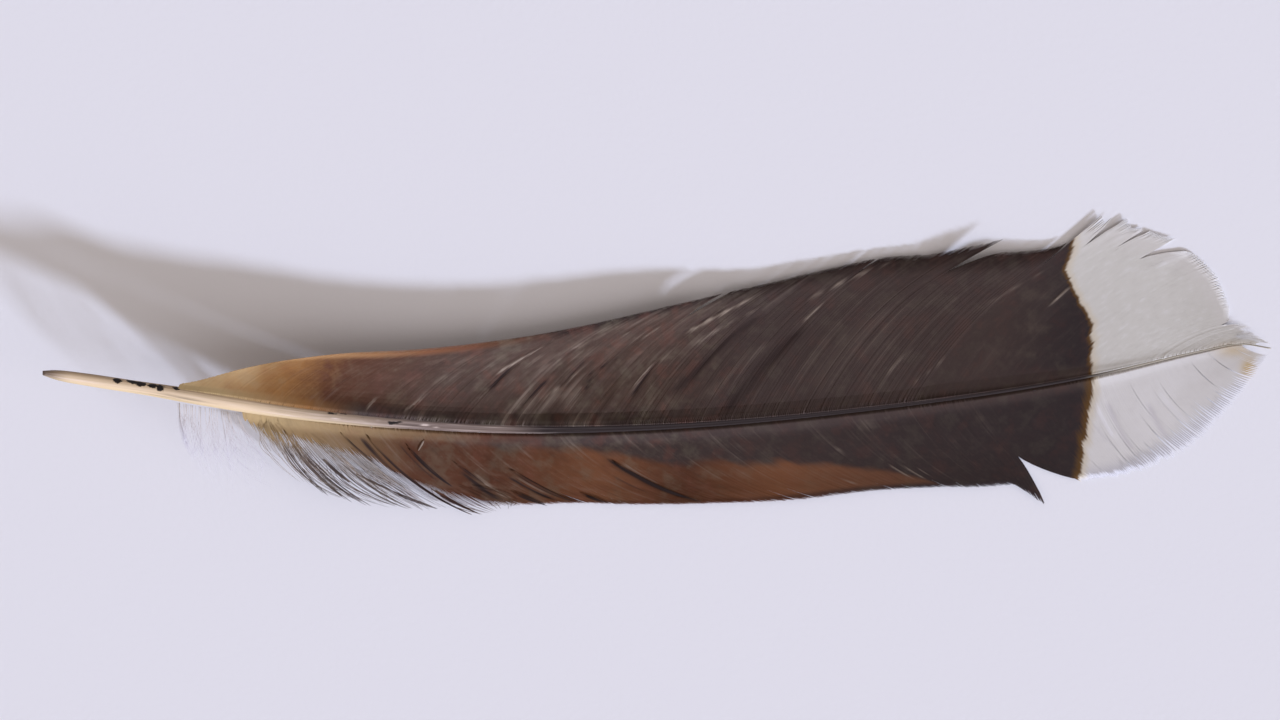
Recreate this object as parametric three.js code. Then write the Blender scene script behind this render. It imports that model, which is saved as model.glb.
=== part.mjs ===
// A large flight feather lying on its back, underside up, at its real size in millimetres.
//
// The quill lies along +X, the broad inner vane is on the +Y side and the narrow outer vane on the
// -Y side. A feather grows as one branching thing: a tapering shaft with barbs on both sides, which
// hook together into webs. Each web between two splits of the vane is a solid of its own, and so
// are the shaft, the unhooked barbs near the quill and the down below them.
//
// Plan positions are first written from the quill's tip, and the finished feather is then moved so
// that the middle of its bounding box's base is the origin.

import * as THREE from "three";
import { mergeVertices } from "three/addons/utils/BufferGeometryUtils.js";

// ---------------------------------------------------------------- driving dimensions

const FEATHER_LENGTH = 280;
const WEB_GAP = 0.3; // clear gap between a web and the shaft
const WEB_THICKNESS = 0.45; // a web is as thick as its barbs are deep
const BARB_BOW = 0.07; // how far a barb bulges towards the quill, as a share of its length

const QUILL_LIFT = 23.5; // the quill curves up off the surface by this much at its tip
const QUILL_LIFT_FROM = 115; // distance from the quill's tip at which the shaft comes down flat
const QUILL_LIFT_POWER = 1.5; // how gradually it rises: 1 is a straight slope
const TIP_LIFT = 1.4; // the feather's far end curls up by this much
const TIP_LIFT_FROM = 256;

// Facet sizes.
const SHAFT_SIDES = 16;
const SHAFT_STEP = 5;
const WEB_STEP = 2.7;
const WEB_STEPS_ACROSS = 7;
const WEB_STEPS_MIN = 3;

// Centreline of the shaft in plan: x, y.
const SHAFT_LINE = [
  [0, -0.2],
  [24, -3.9],
  [58, -9.3],
  [92, -12.5],
  [115, -13.2],
  [150, -12],
  [184, -8.9],
  [218, -4.5],
  [239, -0.9],
  [264, 4.8],
  [273, 6.4],
  [FEATHER_LENGTH, 5.4],
];

// Radius of the shaft: x, radius. It starts at the quill's small open end.
const SHAFT_RADIUS = [
  [0, 0.5],
  [3, 1.1],
  [10, 1.42],
  [22, 1.48],
  [34, 1.72],
  [60, 1.6],
  [100, 1.3],
  [150, 0.9],
  [200, 0.6],
  [240, 0.4],
  [FEATHER_LENGTH, 0.16],
];

// How each side of the feather is laid out. A rib is one barb: where it leaves the shaft along X,
// and where its tip lies in plan. The webs between ribs follow smoothly. A row of `cup` is a place
// along X, how far from the shaft the vane is level with it there, and how steeply it curls up
// beyond that, or droops where the value is negative.
const INNER_VANE = {
  side: 1,
  cup: [
    [30, 2, 0.1],
    [43, 2, 0.08],
    [49, 2, 0.031],
    [56, 2.1, 0.0225],
    [70, 2.6, 0.02],
    [80, 3, 0.0212],
    [100, 4.6, 0.0202],
    [112, 7.4, 0.0235],
    [119, 9.8, 0.026],
    [131, 10.7, 0.0188],
    [149, 12, 0.0106],
    [161, 12.7, 0.0052],
    [175, 13.7, 0.0028],
    [195, 14, 0.0018],
    [211, 14, 0.0035],
    [222, 14, 0.0036],
    [236, 14, 0.0012],
    [FEATHER_LENGTH, 6, 0.0008],
  ],
  ribs: [
    [30.8, 36.5, -1.8],
    [36.5, 48, 1.6],
    [46.8, 64, 3.9],
    [62.8, 84.5, 4.8],
    [78.8, 103.9, 7.1],
    [94.8, 123.3, 10.7],
    [111.9, 143.9, 15.8],
    [129, 164.4, 20.8],
    [145, 180.4, 24.7],
    [159.9, 195, 27.6],
    [177.5, 212, 27.6],
    [194, 231, 28.9],
    [199, 238.5, 30.8],
    [205, 246, 33.5],
    [219, 258.5, 30.5],
    [234, 267.9, 22.8],
    [243, 270.7, 16],
    [252.4, 272, 11.5],
    [263.8, 275.6, 9],
    [276, 280, 6.4],
  ],
};

const OUTER_VANE = {
  side: -1,
  cup: [
    [45, 3, -0.02],
    [75, 5, -0.012],
    [110, 8, 0.004],
    [180, 9, 0.008],
    [225, 9, 0.004],
    [245, 9, 0.001],
    [FEATHER_LENGTH, 8, 0.001],
  ],
  ribs: [
    [45.7, 58, -26.5],
    [52, 66, -28.8],
    [58, 81, -31],
    [66, 91.5, -31.8],
    [73.5, 97.5, -32.3],
    [80.5, 103, -31.6],
    [86.5, 110.5, -30.8],
    [98.5, 122.5, -30],
    [110, 136, -30.2],
    [123, 151, -29.9],
    [145, 171, -29],
    [165, 189.5, -27],
    [180, 202, -26.4],
    [198, 217, -26.2],
    [207, 226, -25.4],
    [214, 233.5, -25.2],
    [222, 239, -24.8],
    [230, 244.5, -24],
    [238.7, 251, -21.8],
    [246.7, 260.5, -16.8],
    [255, 267, -11],
    [262, 273, -4.6],
    [268, 277.2, 1],
    [273, 279.3, 4],
  ],
};

const DOWN = {
  side: -1,
  cup: [
    [25, 2, -0.025],
    [60, 2, -0.025],
  ],
  ribs: [
    [29, 32.5, -18],
    [35, 38.8, -26.5],
    [40, 46.8, -28],
    [44.8, 56, -26],
  ],
};

// How a web's edge barbs stand off the closed outline where the vane is split beside it: the shift
// of the barb tip at its `from` and `to` edge in plan, the share of the web's width that follows
// each edge, and the share of a barb's length at which it starts to part.
const CLOSED = { from: [0, 0], to: [0, 0], width: 1, start: 0.5 };

// The webs, from the quill to the tip of each vane. `from` and `to` are root positions on the shaft.
const WEBS = [
  {
    name: "inner_vane_main",
    vane: INNER_VANE,
    from: 30.8,
    to: 177.2,
    colour: "brown",
    parted: { from: [0, 0], to: [7.4, 3], width: 0.06, start: 0.62 },
  },
  {
    name: "inner_vane_second_web",
    vane: INNER_VANE,
    from: 177.7,
    to: 198.9,
    colour: "brown",
    parted: { from: [4.5, -0.6], to: [-4.8, -1], width: 0.3, start: 0.72 },
  },
  {
    name: "inner_vane_finger",
    vane: INNER_VANE,
    from: 199.4,
    to: 204.4,
    colour: "white",
    parted: { from: [4.2, 6.4], to: [-1, 2.6], width: 0.6, start: 0.8 },
  },
  {
    name: "inner_vane_lobe",
    vane: INNER_VANE,
    from: 204.9,
    to: 218.7,
    colour: "white",
    parted: { from: [2.6, 2.5], to: [0.6, 0.4], width: 0.22, start: 0.84 },
  },
  {
    name: "inner_vane_end_lobe",
    vane: INNER_VANE,
    from: 219.2,
    to: 252.6,
    colour: "white",
    parted: { from: [3.2, -2.7], to: [-1.2, 0.8], width: 0.22, start: 0.78 },
  },
  {
    name: "inner_vane_tip_wisp",
    vane: INNER_VANE,
    from: 253.1,
    to: 276,
    colour: "white",
    parted: CLOSED,
  },
  {
    name: "loose_barbs",
    vane: OUTER_VANE,
    from: 45.7,
    to: 69.4,
    colour: "brown",
    parted: CLOSED,
  },
  {
    name: "outer_vane_main",
    vane: OUTER_VANE,
    from: 69.9,
    to: 211.3,
    colour: "rust",
    parted: { from: [0, 0], to: [-2.4, -5.2], width: 0.04, start: 0.6 },
  },
  {
    name: "outer_vane_end_web",
    vane: OUTER_VANE,
    from: 211.8,
    to: 273,
    colour: "white",
    parted: { from: [5, 0.6], to: [0, 0], width: 0.1, start: 0.6 },
  },
  {
    name: "down_tuft",
    vane: DOWN,
    from: 29,
    to: 44.8,
    colour: "down",
    parted: CLOSED,
  },
];

// ---------------------------------------------------------------- materials

const keratin = (color, roughness) => new THREE.MeshStandardMaterial({ color, roughness, metalness: 0 });

const MATERIALS = {
  horn: keratin(0xc3a588, 0.4),
  brown: keratin(0x4a3b36, 0.7),
  rust: keratin(0x714a36, 0.7),
  white: keratin(0xc9c5be, 0.75),
  down: keratin(0xc6beb8, 0.85),
};

// ---------------------------------------------------------------- curves

// A smooth function through rows of [position, value, ...]. It returns the values at a position.
function smoothTable(rows) {
  const positions = rows.map((row) => row[0]);
  const values = rows.flatMap((row) => row.slice(1));
  const valuesPerRow = rows[0].length - 1;
  const cubic = new THREE.CubicInterpolant(positions, values, valuesPerRow);
  return (position) => Array.from(cubic.evaluate(position));
}

const shaftY = smoothTable(SHAFT_LINE);
const shaftRadius = smoothTable(SHAFT_RADIUS);
for (const vane of [INNER_VANE, OUTER_VANE, DOWN]) {
  vane.ribTip = smoothTable(vane.ribs);
  vane.cupAt = smoothTable(vane.cup);
}

function shaftPoint(x) {
  return new THREE.Vector2(x, shaftY(x)[0]);
}

// Unit vector square to the shaft in plan, on its +Y side.
function shaftNormal(x) {
  const halfChord = 0.5;
  const along = shaftPoint(x + halfChord).sub(shaftPoint(x - halfChord)).normalize();
  return new THREE.Vector2(-along.y, along.x);
}

// Height of the feather's lowest line above the surface.
function lift(x) {
  const quillShare = Math.max(0, (QUILL_LIFT_FROM - x) / QUILL_LIFT_FROM);
  const tipShare = Math.max(0, (x - TIP_LIFT_FROM) / (FEATHER_LENGTH - TIP_LIFT_FROM));
  return QUILL_LIFT * quillShare ** QUILL_LIFT_POWER + TIP_LIFT * tipShare ** 2;
}

// Height of a vane's lower face at a plan point.
function vaneHeight(vane, point) {
  const x = THREE.MathUtils.clamp(point.x, 0, FEATHER_LENGTH);
  const fromShaft = Math.abs(point.y - shaftY(x)[0]);
  const [level, curl] = vane.cupAt(x);
  return lift(point.x) + curl * Math.max(0, fromShaft - level) ** 2;
}

// How far the splits at a web's two edges have moved the tip of the barb at `share` across it.
function partingAt({ from, to, width }, share) {
  const fromWeight = Math.max(0, 1 - share / width);
  const toWeight = Math.max(0, 1 - (1 - share) / width);
  const parting = new THREE.Vector2(...from).multiplyScalar(fromWeight);
  return parting.addScaledVector(new THREE.Vector2(...to), toWeight);
}

// The line of one barb of a web in plan, before the splits move it.
function barbCurve(vane, rootX, tip) {
  const fromCentre = vane.side * (shaftRadius(rootX)[0] + WEB_GAP);
  const root = shaftPoint(rootX).addScaledVector(shaftNormal(rootX), fromCentre);
  const chord = tip.clone().sub(root);
  const bulge = new THREE.Vector2(-chord.y, chord.x).multiplyScalar(vane.side * 2 * BARB_BOW);
  return new THREE.QuadraticBezierCurve(root, root.clone().lerp(tip, 0.5).add(bulge), tip);
}

// ---------------------------------------------------------------- solids

// The shaft: a lathed taper along X, bent to the centreline, its underside on the lift line.
function shaftGeometry() {
  const steps = FEATHER_LENGTH / SHAFT_STEP;
  const profile = [new THREE.Vector2(0, 0)];
  for (let i = 0; i <= steps; i++) {
    const x = i * SHAFT_STEP;
    profile.push(new THREE.Vector2(shaftRadius(x)[0], x));
  }
  profile.push(new THREE.Vector2(0, FEATHER_LENGTH));
  const geometry = new THREE.LatheGeometry(profile, SHAFT_SIDES);
  const position = geometry.attributes.position;
  for (let i = 0; i < position.count; i++) {
    const x = position.getY(i);
    const height = lift(x) + shaftRadius(x)[0];
    position.setXYZ(i, x, shaftY(x)[0] - position.getX(i), height + position.getZ(i));
  }
  return geometry;
}

// One web: a box, one step thick, whose length follows the shaft and whose width follows the barbs.
function webGeometry({ vane, from, to, parted }) {
  const stepsAlong = Math.max(WEB_STEPS_MIN, Math.round((to - from) / WEB_STEP));
  const geometry = new THREE.BoxGeometry(1, 1, 1, stepsAlong, WEB_STEPS_ACROSS, 1);
  const position = geometry.attributes.position;
  for (let i = 0; i < position.count; i++) {
    // On the -Y side both plan directions turn round, so the faces still point out.
    const share = 0.5 + vane.side * position.getX(i);
    const reach = position.getY(i) + 0.5;
    const top = position.getZ(i) + 0.5;
    const rootX = THREE.MathUtils.lerp(from, to, share);
    const barb = barbCurve(vane, rootX, new THREE.Vector2(...vane.ribTip(rootX)));
    const opened = Math.max(0, (reach - parted.start) / (1 - parted.start)) ** 1.5;
    const point = barb.getPoint(reach).addScaledVector(partingAt(parted, share), opened);
    position.setXYZ(i, point.x, point.y, vaneHeight(vane, point) + top * WEB_THICKNESS);
  }
  return geometry;
}

// A geometry whose shared vertices are one, so that it is a closed body.
function closed(geometry) {
  geometry.deleteAttribute("normal");
  geometry.deleteAttribute("uv");
  const merged = mergeVertices(geometry, 1e-3);
  merged.computeVertexNormals();
  return merged;
}

function named(name, geometry, material) {
  const mesh = new THREE.Mesh(closed(geometry), material);
  mesh.name = name;
  return mesh;
}

// ---------------------------------------------------------------- the feather

const feather = new THREE.Group();
feather.add(named("shaft", shaftGeometry(), MATERIALS.horn));
for (const web of WEBS) {
  feather.add(named(web.name, webGeometry(web), MATERIALS[web.colour]));
}

const bounds = new THREE.Box3().setFromObject(feather);
const middle = bounds.getCenter(new THREE.Vector3());
feather.position.set(-middle.x, -middle.y, -bounds.min.z);

const part = new THREE.Group();
part.add(feather);

export default part;
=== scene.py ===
"""A large flight feather lying on its back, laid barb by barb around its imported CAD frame.

Lengths are millimetres until a mesh is finished. Plan positions are measured from the quill's tip,
as on a bench drawing of the feather: x along the quill, y towards the broad inner vane. A place on
a vane is given by its barb's root, in mm along the shaft, and its reach, from 0 at the shaft to 1
at the vane's edge. Each finished piece is in metres, in the frame's own axes.
"""

from __future__ import annotations

import logging
import math
from dataclasses import dataclass, field
from enum import Enum
from typing import Any

import bmesh
import bpy
import numpy as np
from mathutils import Matrix, Vector


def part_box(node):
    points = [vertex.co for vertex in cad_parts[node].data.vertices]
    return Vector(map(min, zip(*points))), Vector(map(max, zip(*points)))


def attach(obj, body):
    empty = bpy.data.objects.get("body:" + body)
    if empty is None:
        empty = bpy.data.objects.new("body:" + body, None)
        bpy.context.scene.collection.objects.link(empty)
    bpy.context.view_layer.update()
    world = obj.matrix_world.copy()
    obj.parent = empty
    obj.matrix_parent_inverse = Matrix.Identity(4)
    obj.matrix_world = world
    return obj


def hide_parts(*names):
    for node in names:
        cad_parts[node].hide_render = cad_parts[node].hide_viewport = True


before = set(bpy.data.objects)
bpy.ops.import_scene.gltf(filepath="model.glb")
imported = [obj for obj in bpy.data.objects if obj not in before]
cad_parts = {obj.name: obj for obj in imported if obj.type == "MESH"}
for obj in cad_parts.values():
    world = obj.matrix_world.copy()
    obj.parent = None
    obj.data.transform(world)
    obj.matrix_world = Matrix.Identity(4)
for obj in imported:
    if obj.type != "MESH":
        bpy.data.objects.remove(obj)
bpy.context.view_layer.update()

log = logging.getLogger("feather")

MM = 0.001
BODY = "root"
Rows = tuple[tuple[float, ...], ...]
Stops = tuple[tuple[float, str], ...]


# ---------------------------------------------------------------- numbers and noise


def smooth_step(value: np.ndarray) -> np.ndarray:
    """Returns value clipped to 0..1 and eased at both ends."""
    t = np.clip(value, 0.0, 1.0)
    return t * t * (3.0 - 2.0 * t)


class SmoothTable:
    """A smooth function through rows of (position, value, ...), level beyond both ends."""

    def __init__(self, rows: Rows) -> None:
        """Prepares the table.

        Args:
            rows: a position and its values in each row, in rising order of position.
        """
        table = np.array(rows, float)
        self.at = table[:, 0]
        self.values = table[:, 1:]
        slopes = np.diff(self.values, axis=0) / np.diff(self.at)[:, None]
        self.tangents = np.vstack([slopes[:1], (slopes[:-1] + slopes[1:]) / 2, slopes[-1:]])

    def __call__(self, position: Any) -> np.ndarray:
        """Evaluates the table.

        Args:
            position: one position or an array of them.

        Returns:
            The values, in one more dimension than position has.
        """
        x = np.clip(np.asarray(position, float), self.at[0], self.at[-1])
        i = np.clip(np.searchsorted(self.at, x, side="right") - 1, 0, len(self.at) - 2)
        width = (self.at[i + 1] - self.at[i])[..., None]
        t = (x - self.at[i])[..., None] / width
        start = (1 + 2 * t) * (1 - t) ** 2 * self.values[i] + t * (1 - t) ** 2 * width * self.tangents[i]
        end = t * t * (3 - 2 * t) * self.values[i + 1] + t * t * (t - 1) * width * self.tangents[i + 1]
        return start + end

    def one(self, position: Any) -> np.ndarray:
        """Returns the table's first value at each position."""
        return self(position)[..., 0]


@dataclass(frozen=True)
class BarbNoise:
    """Smooth seeded noise from -1 to 1 that runs along the barbs, so it looks like combed strands."""

    seed: int
    across: float  # mm along the shaft between neighbouring values
    along: float  # share of a barb's length between neighbouring values

    def __call__(self, root: np.ndarray, reach: np.ndarray) -> np.ndarray:
        """Evaluates the noise.

        Args:
            root: barb roots in mm along the shaft.
            reach: shares of the barbs' length, in an array that broadcasts with root.

        Returns:
            Values from -1 to 1.
        """
        s, r = np.broadcast_arrays(np.asarray(root) / self.across, np.asarray(reach) / self.along)
        s, r = np.clip(s, 0, None), np.clip(r, 0, None)
        shape = (int(FeatherPlan.length / self.across) + 4, int(1.5 / self.along) + 4)
        grid = np.random.default_rng(self.seed).uniform(-1, 1, shape)
        i = np.clip(s.astype(int), 0, shape[0] - 2)
        j = np.clip(r.astype(int), 0, shape[1] - 2)
        a, b = smooth_step(s - i), smooth_step(r - j)
        low = grid[i, j] * (1 - a) + grid[i + 1, j] * a
        high = grid[i, j + 1] * (1 - a) + grid[i + 1, j + 1] * a
        return low * (1 - b) + high * b


# ---------------------------------------------------------------- the feather's plan


class Side(Enum):
    """The side of the shaft that a vane grows on."""

    INNER = 1
    OUTER = -1


@dataclass(frozen=True)
class FeatherPlan:
    """The feather's driving sizes, and where its shaft runs."""

    length: float = 280.0
    quill_lift: float = 23.5
    quill_lift_from: float = 115.0
    quill_lift_power: float = 1.5
    tip_lift: float = 1.4
    tip_lift_from: float = 256.0
    shaft_line: Rows = (
        (0, -0.2), (24, -3.9), (58, -9.3), (92, -12.5), (115, -13.2), (150, -12),
        (184, -8.9), (218, -4.5), (239, -0.9), (264, 4.8), (273, 6.4), (280, 5.4),
    )  # fmt: skip
    shaft_radii: Rows = (
        (0, 0.5), (3, 1.1), (10, 1.42), (22, 1.48), (34, 1.72), (60, 1.6),
        (100, 1.3), (150, 0.9), (200, 0.6), (240, 0.4), (280, 0.16),
    )  # fmt: skip

    def shaft_y(self, x: Any) -> np.ndarray:
        """Returns how far to the side the shaft's centre is at each x."""
        return SmoothTable(self.shaft_line).one(x)

    def shaft_radius(self, x: Any) -> np.ndarray:
        """Returns the shaft's radius at each x."""
        return SmoothTable(self.shaft_radii).one(x)

    def shaft_normal(self, x: np.ndarray) -> np.ndarray:
        """Returns unit vectors square to the shaft in plan, towards the inner vane."""
        half = 0.5
        rise = self.shaft_y(x + half) - self.shaft_y(x - half)
        across = np.stack([-rise, np.full_like(rise, 2 * half)], -1)
        return across / np.linalg.norm(across, axis=-1, keepdims=True)

    def lift(self, x: Any) -> np.ndarray:
        """Returns the height of the feather's lowest line above the surface at each x."""
        x = np.asarray(x, float)
        quill = np.maximum(0, (self.quill_lift_from - x) / self.quill_lift_from)
        tip = np.maximum(0, (x - self.tip_lift_from) / (self.length - self.tip_lift_from))
        return self.quill_lift * quill**self.quill_lift_power + self.tip_lift * tip**2

    def to_frame(self, points: np.ndarray) -> np.ndarray:
        """Moves points from the plan's millimetres to the frame.

        Args:
            points: (..., 3) positions in mm from the quill's tip.

        Returns:
            The positions in metres, in the frame's axes.
        """
        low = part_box("shaft")[0]
        every = np.arange(0.0, self.length + 1, 5.0)
        edge = (self.shaft_y(every) - self.shaft_radius(every)).min()
        return points * MM + np.array([low.x, low.y - edge * MM, 0.0])


@dataclass(frozen=True)
class Streak:
    """A run of barbs that is lighter than its neighbours, or darker where strength is negative.

    The lighter runs are painted glints where raised barbs catch the key light. The darker runs are
    painted shade in the creases between clumps on the inner vane, and barbs of a darker colour on the
    outer vane.
    """

    root: float
    start: float  # reach
    end: float
    strength: float
    width: float = 0.7  # mm along the shaft to each side
    lean: float = 0.0  # mm that the root moves on from start to end

    def at(self, root: np.ndarray, reach: np.ndarray) -> np.ndarray:
        """Returns the streak's strength at each place on the vane."""
        soft = 0.06
        share = np.clip((reach - self.start) / (self.end - self.start), 0, 1)
        across = np.exp(-(((root - self.root - self.lean * share) / self.width) ** 2))
        begins = smooth_step((reach - self.start) / soft + 0.5)
        ends = smooth_step((self.end - reach) / soft + 0.5)
        return self.strength * across * begins * ends


@dataclass(frozen=True)
class Slit:
    """A place where the barbs have come apart and the light shines through."""

    root: float
    start: float  # reach
    end: float
    width: float  # mm along the shaft at its widest
    reach_back: float = 3.0  # mm over which the neighbours are pushed together

    def push(self, root: np.ndarray, reach: np.ndarray) -> np.ndarray:
        """Returns how far each place moves along the shaft to open the slit."""
        share = np.clip((reach - self.start) / (self.end - self.start), 0, 1)
        opened = 0.5 * self.width * np.sin(math.pi * share) ** 0.8
        away = root - self.root
        return np.sign(away) * opened * np.exp(-np.abs(away) / self.reach_back)


@dataclass(frozen=True)
class Vane:
    """One side of the feather: how its barbs run, how it cups, and its marks."""

    plan: FeatherPlan
    side: Side
    cup: Rows  # x, distance from the shaft that is level, curl beyond it
    ribs: Rows  # root, tip x, tip y
    relief: Rows = ((0, 0.0), (280, 0.0))  # root, height of the ridges in mm
    mottle: Rows = ((0, 0.0), (280, 0.0))  # root, how strongly clumps of barbs differ in tone
    streaks: tuple[Streak, ...] = ()
    slits: tuple[Slit, ...] = ()
    climb: Rows = ((0, 1.1, 1.6), (280, 1.1, 1.6))  # x, height on the shaft in its radii, width in mm
    root_gap: float = 0.3
    barb_bow: float = 0.07

    def point(self, root: np.ndarray, reach: np.ndarray) -> np.ndarray:
        """Finds places of the vane in plan.

        Args:
            root: barb roots in mm along the shaft.
            reach: shares of the barbs' length.

        Returns:
            (..., 2) plan positions.
        """
        root, reach = np.broadcast_arrays(root, reach)
        off = self.side.value * (self.plan.shaft_radius(root) + self.root_gap)
        start = np.stack([root, self.plan.shaft_y(root)], -1) + self.plan.shaft_normal(root) * off[..., None]
        tip = SmoothTable(self.ribs)(root)
        chord = tip - start
        bulge = np.stack([-chord[..., 1], chord[..., 0]], -1) * self.side.value * 2 * self.barb_bow
        middle = (start + tip) / 2 + bulge
        t = reach[..., None]
        return (1 - t) ** 2 * start + 2 * t * (1 - t) * middle + t * t * tip

    def height(self, point: np.ndarray) -> np.ndarray:
        """Returns the height of the vane's lower face at plan positions."""
        x = np.clip(point[..., 0], 0, self.plan.length)
        from_shaft = np.abs(point[..., 1] - self.plan.shaft_y(x))
        cup = SmoothTable(self.cup)(x)
        return self.plan.lift(point[..., 0]) + cup[..., 1] * np.maximum(0, from_shaft - cup[..., 0]) ** 2

    def ridges(self, root: np.ndarray, reach: np.ndarray) -> np.ndarray:
        """Returns how far the combed clumps of barbs stand up or sink, in mm."""
        broad = BarbNoise(11 + self.side.value, across=4.2, along=0.2)(root, reach)
        fine = BarbNoise(21 + self.side.value, across=1.4, along=0.12)(root, reach)
        marks = sum(streak.at(root, reach) for streak in self.streaks)
        size = SmoothTable(self.relief).one(root) * smooth_step(reach / 0.15)
        return size * (0.75 * broad + 0.4 * fine) + 0.08 * marks

    def tone(self, root: np.ndarray, reach: np.ndarray) -> np.ndarray:
        """Returns how light or dark the vane's marks and clumps make each place, from -1 to 1. The marks hold painted
        glints and painted crease shade.
        """
        broad = BarbNoise(51 + self.side.value, across=5.0, along=0.17)(root, reach)
        fine = BarbNoise(61 + self.side.value, across=1.2, along=0.1)(root, reach)
        calmer = 1.0 - 0.6 * smooth_step((reach - 0.7) / 0.2)
        clumps = SmoothTable(self.mottle).one(root) * calmer * (0.5 * broad + 0.45 * fine)
        return np.clip(clumps + sum(streak.at(root, reach) for streak in self.streaks), -1, 1)

    def push(self, root: np.ndarray, reach: np.ndarray) -> np.ndarray:
        """Returns how far the slits move each place along the shaft."""
        return sum((slit.push(root, reach) for slit in self.slits), np.zeros(np.shape(reach)))


@dataclass(frozen=True)
class WhiteBand:
    """The clean white end of both vanes. Its border is a ragged line across the feather."""

    # Plan y, and the x at which the dark vane turns white there.
    border: Rows = ((-25, 236), (-5, 239), (11, 239), (23, 233), (29, 235))

    def beyond(self, point: np.ndarray) -> np.ndarray:
        """Returns how many mm beyond the border each plan position lies."""
        rows = np.array(self.border)
        return point[..., 0] - np.interp(point[..., 1], rows[:, 0], rows[:, 1])


# ---------------------------------------------------------------- strands


@dataclass
class StrandLayout:
    """Many closed thin strands in one mesh, and which strand and station each vertex belongs to."""

    mesh: bpy.types.Mesh
    strand: np.ndarray
    station: np.ndarray
    across: np.ndarray
    up: np.ndarray

    @classmethod
    def make(cls, name: str, count: int, stations: int, sides: int = 4) -> "StrandLayout":
        """Makes the strands, still straight and side by side.

        Args:
            name: the mesh's name.
            count: how many strands there are.
            stations: how many rings of vertices each one has.
            sides: how many sides its section has.

        Returns:
            The layout, ready to be placed.
        """
        bm = bmesh.new()
        bmesh.ops.create_cone(bm, cap_ends=True, segments=sides, radius1=1, radius2=1, depth=1)
        bmesh.ops.rotate(bm, verts=bm.verts, matrix=Matrix.Rotation(math.pi / 2, 3, "Y"))
        bmesh.ops.translate(bm, verts=bm.verts, vec=(0.5, 0, 0))
        long_edges = [e for e in bm.edges if abs(e.verts[0].co.x - e.verts[1].co.x) > 0.5]
        bmesh.ops.subdivide_edges(bm, edges=long_edges, cuts=stations - 2, use_grid_fill=True)
        for edge in bm.edges:
            at_side = all(abs(vert.co.y) > 0.9 for vert in edge.verts)
            edge.smooth = not (sides == 4 and at_side and abs(edge.verts[0].co.x - edge.verts[1].co.x) > 1e-4)
        template = bpy.data.meshes.new(name + "_strand")
        bm.to_mesh(template)
        bm.free()

        pitch = 4.0
        carrier = bpy.data.objects.new(name + "_carrier", template)
        bpy.context.scene.collection.objects.link(carrier)
        repeat = carrier.modifiers.new("repeat", "ARRAY")
        repeat.use_relative_offset = False
        repeat.use_constant_offset = True
        repeat.constant_offset_displace = (0, pitch, 0)
        repeat.count = count
        depsgraph = bpy.context.evaluated_depsgraph_get()
        mesh = bpy.data.meshes.new_from_object(carrier.evaluated_get(depsgraph))
        mesh.name = name
        bpy.data.objects.remove(carrier)
        bpy.data.meshes.remove(template)

        co = np.empty(len(mesh.vertices) * 3, np.float32)
        mesh.vertices.foreach_get("co", co)
        co = co.reshape(-1, 3).astype(float)
        strand = np.round(co[:, 1] / pitch).astype(int)
        station = np.round(co[:, 0] * (stations - 1)).astype(int)
        return cls(mesh, strand, station, co[:, 1] - pitch * strand, co[:, 2])

    def per_vertex(self, values: np.ndarray) -> np.ndarray:
        """Returns (strand, station) values as one for each vertex."""
        return values[self.strand, self.station]

    def place(self, plan: FeatherPlan, line: np.ndarray, wide: np.ndarray, deep: np.ndarray,
              roll: np.ndarray | None = None) -> None:
        """Lays each strand along its line.

        Args:
            plan: the feather's plan, which takes millimetres to the frame.
            line: (strand, station, 3) centre lines in mm.
            wide: (strand, station) half widths in mm, across the line in plan.
            deep: (strand, station) half depths in mm.
            roll: (strand, station) slopes across the strand, or None where it lies level.
        """
        along = np.gradient(line, axis=1)
        along /= np.linalg.norm(along, axis=-1, keepdims=True)
        left = np.stack([-along[..., 1], along[..., 0], np.zeros(along.shape[:2])], -1)
        left /= np.linalg.norm(left, axis=-1, keepdims=True)
        if roll is not None:
            left[..., 2] = roll
        over = np.cross(along, left)
        over /= np.linalg.norm(over, axis=-1, keepdims=True)
        co = self.per_vertex(line)
        co = co + self.per_vertex(left * wide[..., None]) * self.across[:, None]
        co = co + self.per_vertex(over * deep[..., None]) * self.up[:, None]
        self.mesh.vertices.foreach_set("co", plan.to_frame(co).astype(np.float32).ravel())
        self.mesh.polygons.foreach_set("use_smooth", np.ones(len(self.mesh.polygons), bool))
        self.mesh.update()

    def attribute(self, name: str, values: np.ndarray) -> None:
        """Stores (strand, station) values as a named attribute of the mesh."""
        layer = self.mesh.attributes.new(name, "FLOAT", "POINT")
        layer.data.foreach_set("value", self.per_vertex(values).astype(np.float32))

    def map_barbs(self, root_share: np.ndarray, reach: np.ndarray) -> None:
        """Adds two UV maps: one that patterns follow, and one in which no two faces overlap.

        Args:
            root_share: (strand, station) roots as a share of the feather's length.
            reach: (strand, station) reaches.
        """
        loops = len(self.mesh.loops)
        vertex = np.empty(loops, np.int32)
        self.mesh.loops.foreach_get("vertex_index", vertex)
        face = np.repeat(np.arange(len(self.mesh.polygons)), self._face_sizes())
        height = np.bincount(face, self.up[vertex]) / self._face_sizes()
        below = (height < 0)[face]

        pattern = self.mesh.uv_layers.new(name="Barbs")
        place = np.stack([self.per_vertex(root_share)[vertex], self.per_vertex(reach)[vertex]], -1)
        pattern.data.foreach_set("uv", place.astype(np.float32).ravel())

        flat = self.mesh.uv_layers.new(name="OFBake")
        count, last = self.strand.max() + 1, self.station.max()
        u = (self.strand[vertex] + 0.5 + 0.42 * self.across[vertex]) / count
        v = 0.01 + 0.47 * self.station[vertex] / last + np.where(below, 0.5, 0.0)
        flat.data.foreach_set("uv", np.stack([u, v], -1).astype(np.float32).ravel())

    def _face_sizes(self) -> np.ndarray:
        """Returns how many corners each face has."""
        sizes = np.empty(len(self.mesh.polygons), np.int32)
        self.mesh.polygons.foreach_get("loop_total", sizes)
        return sizes


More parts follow.
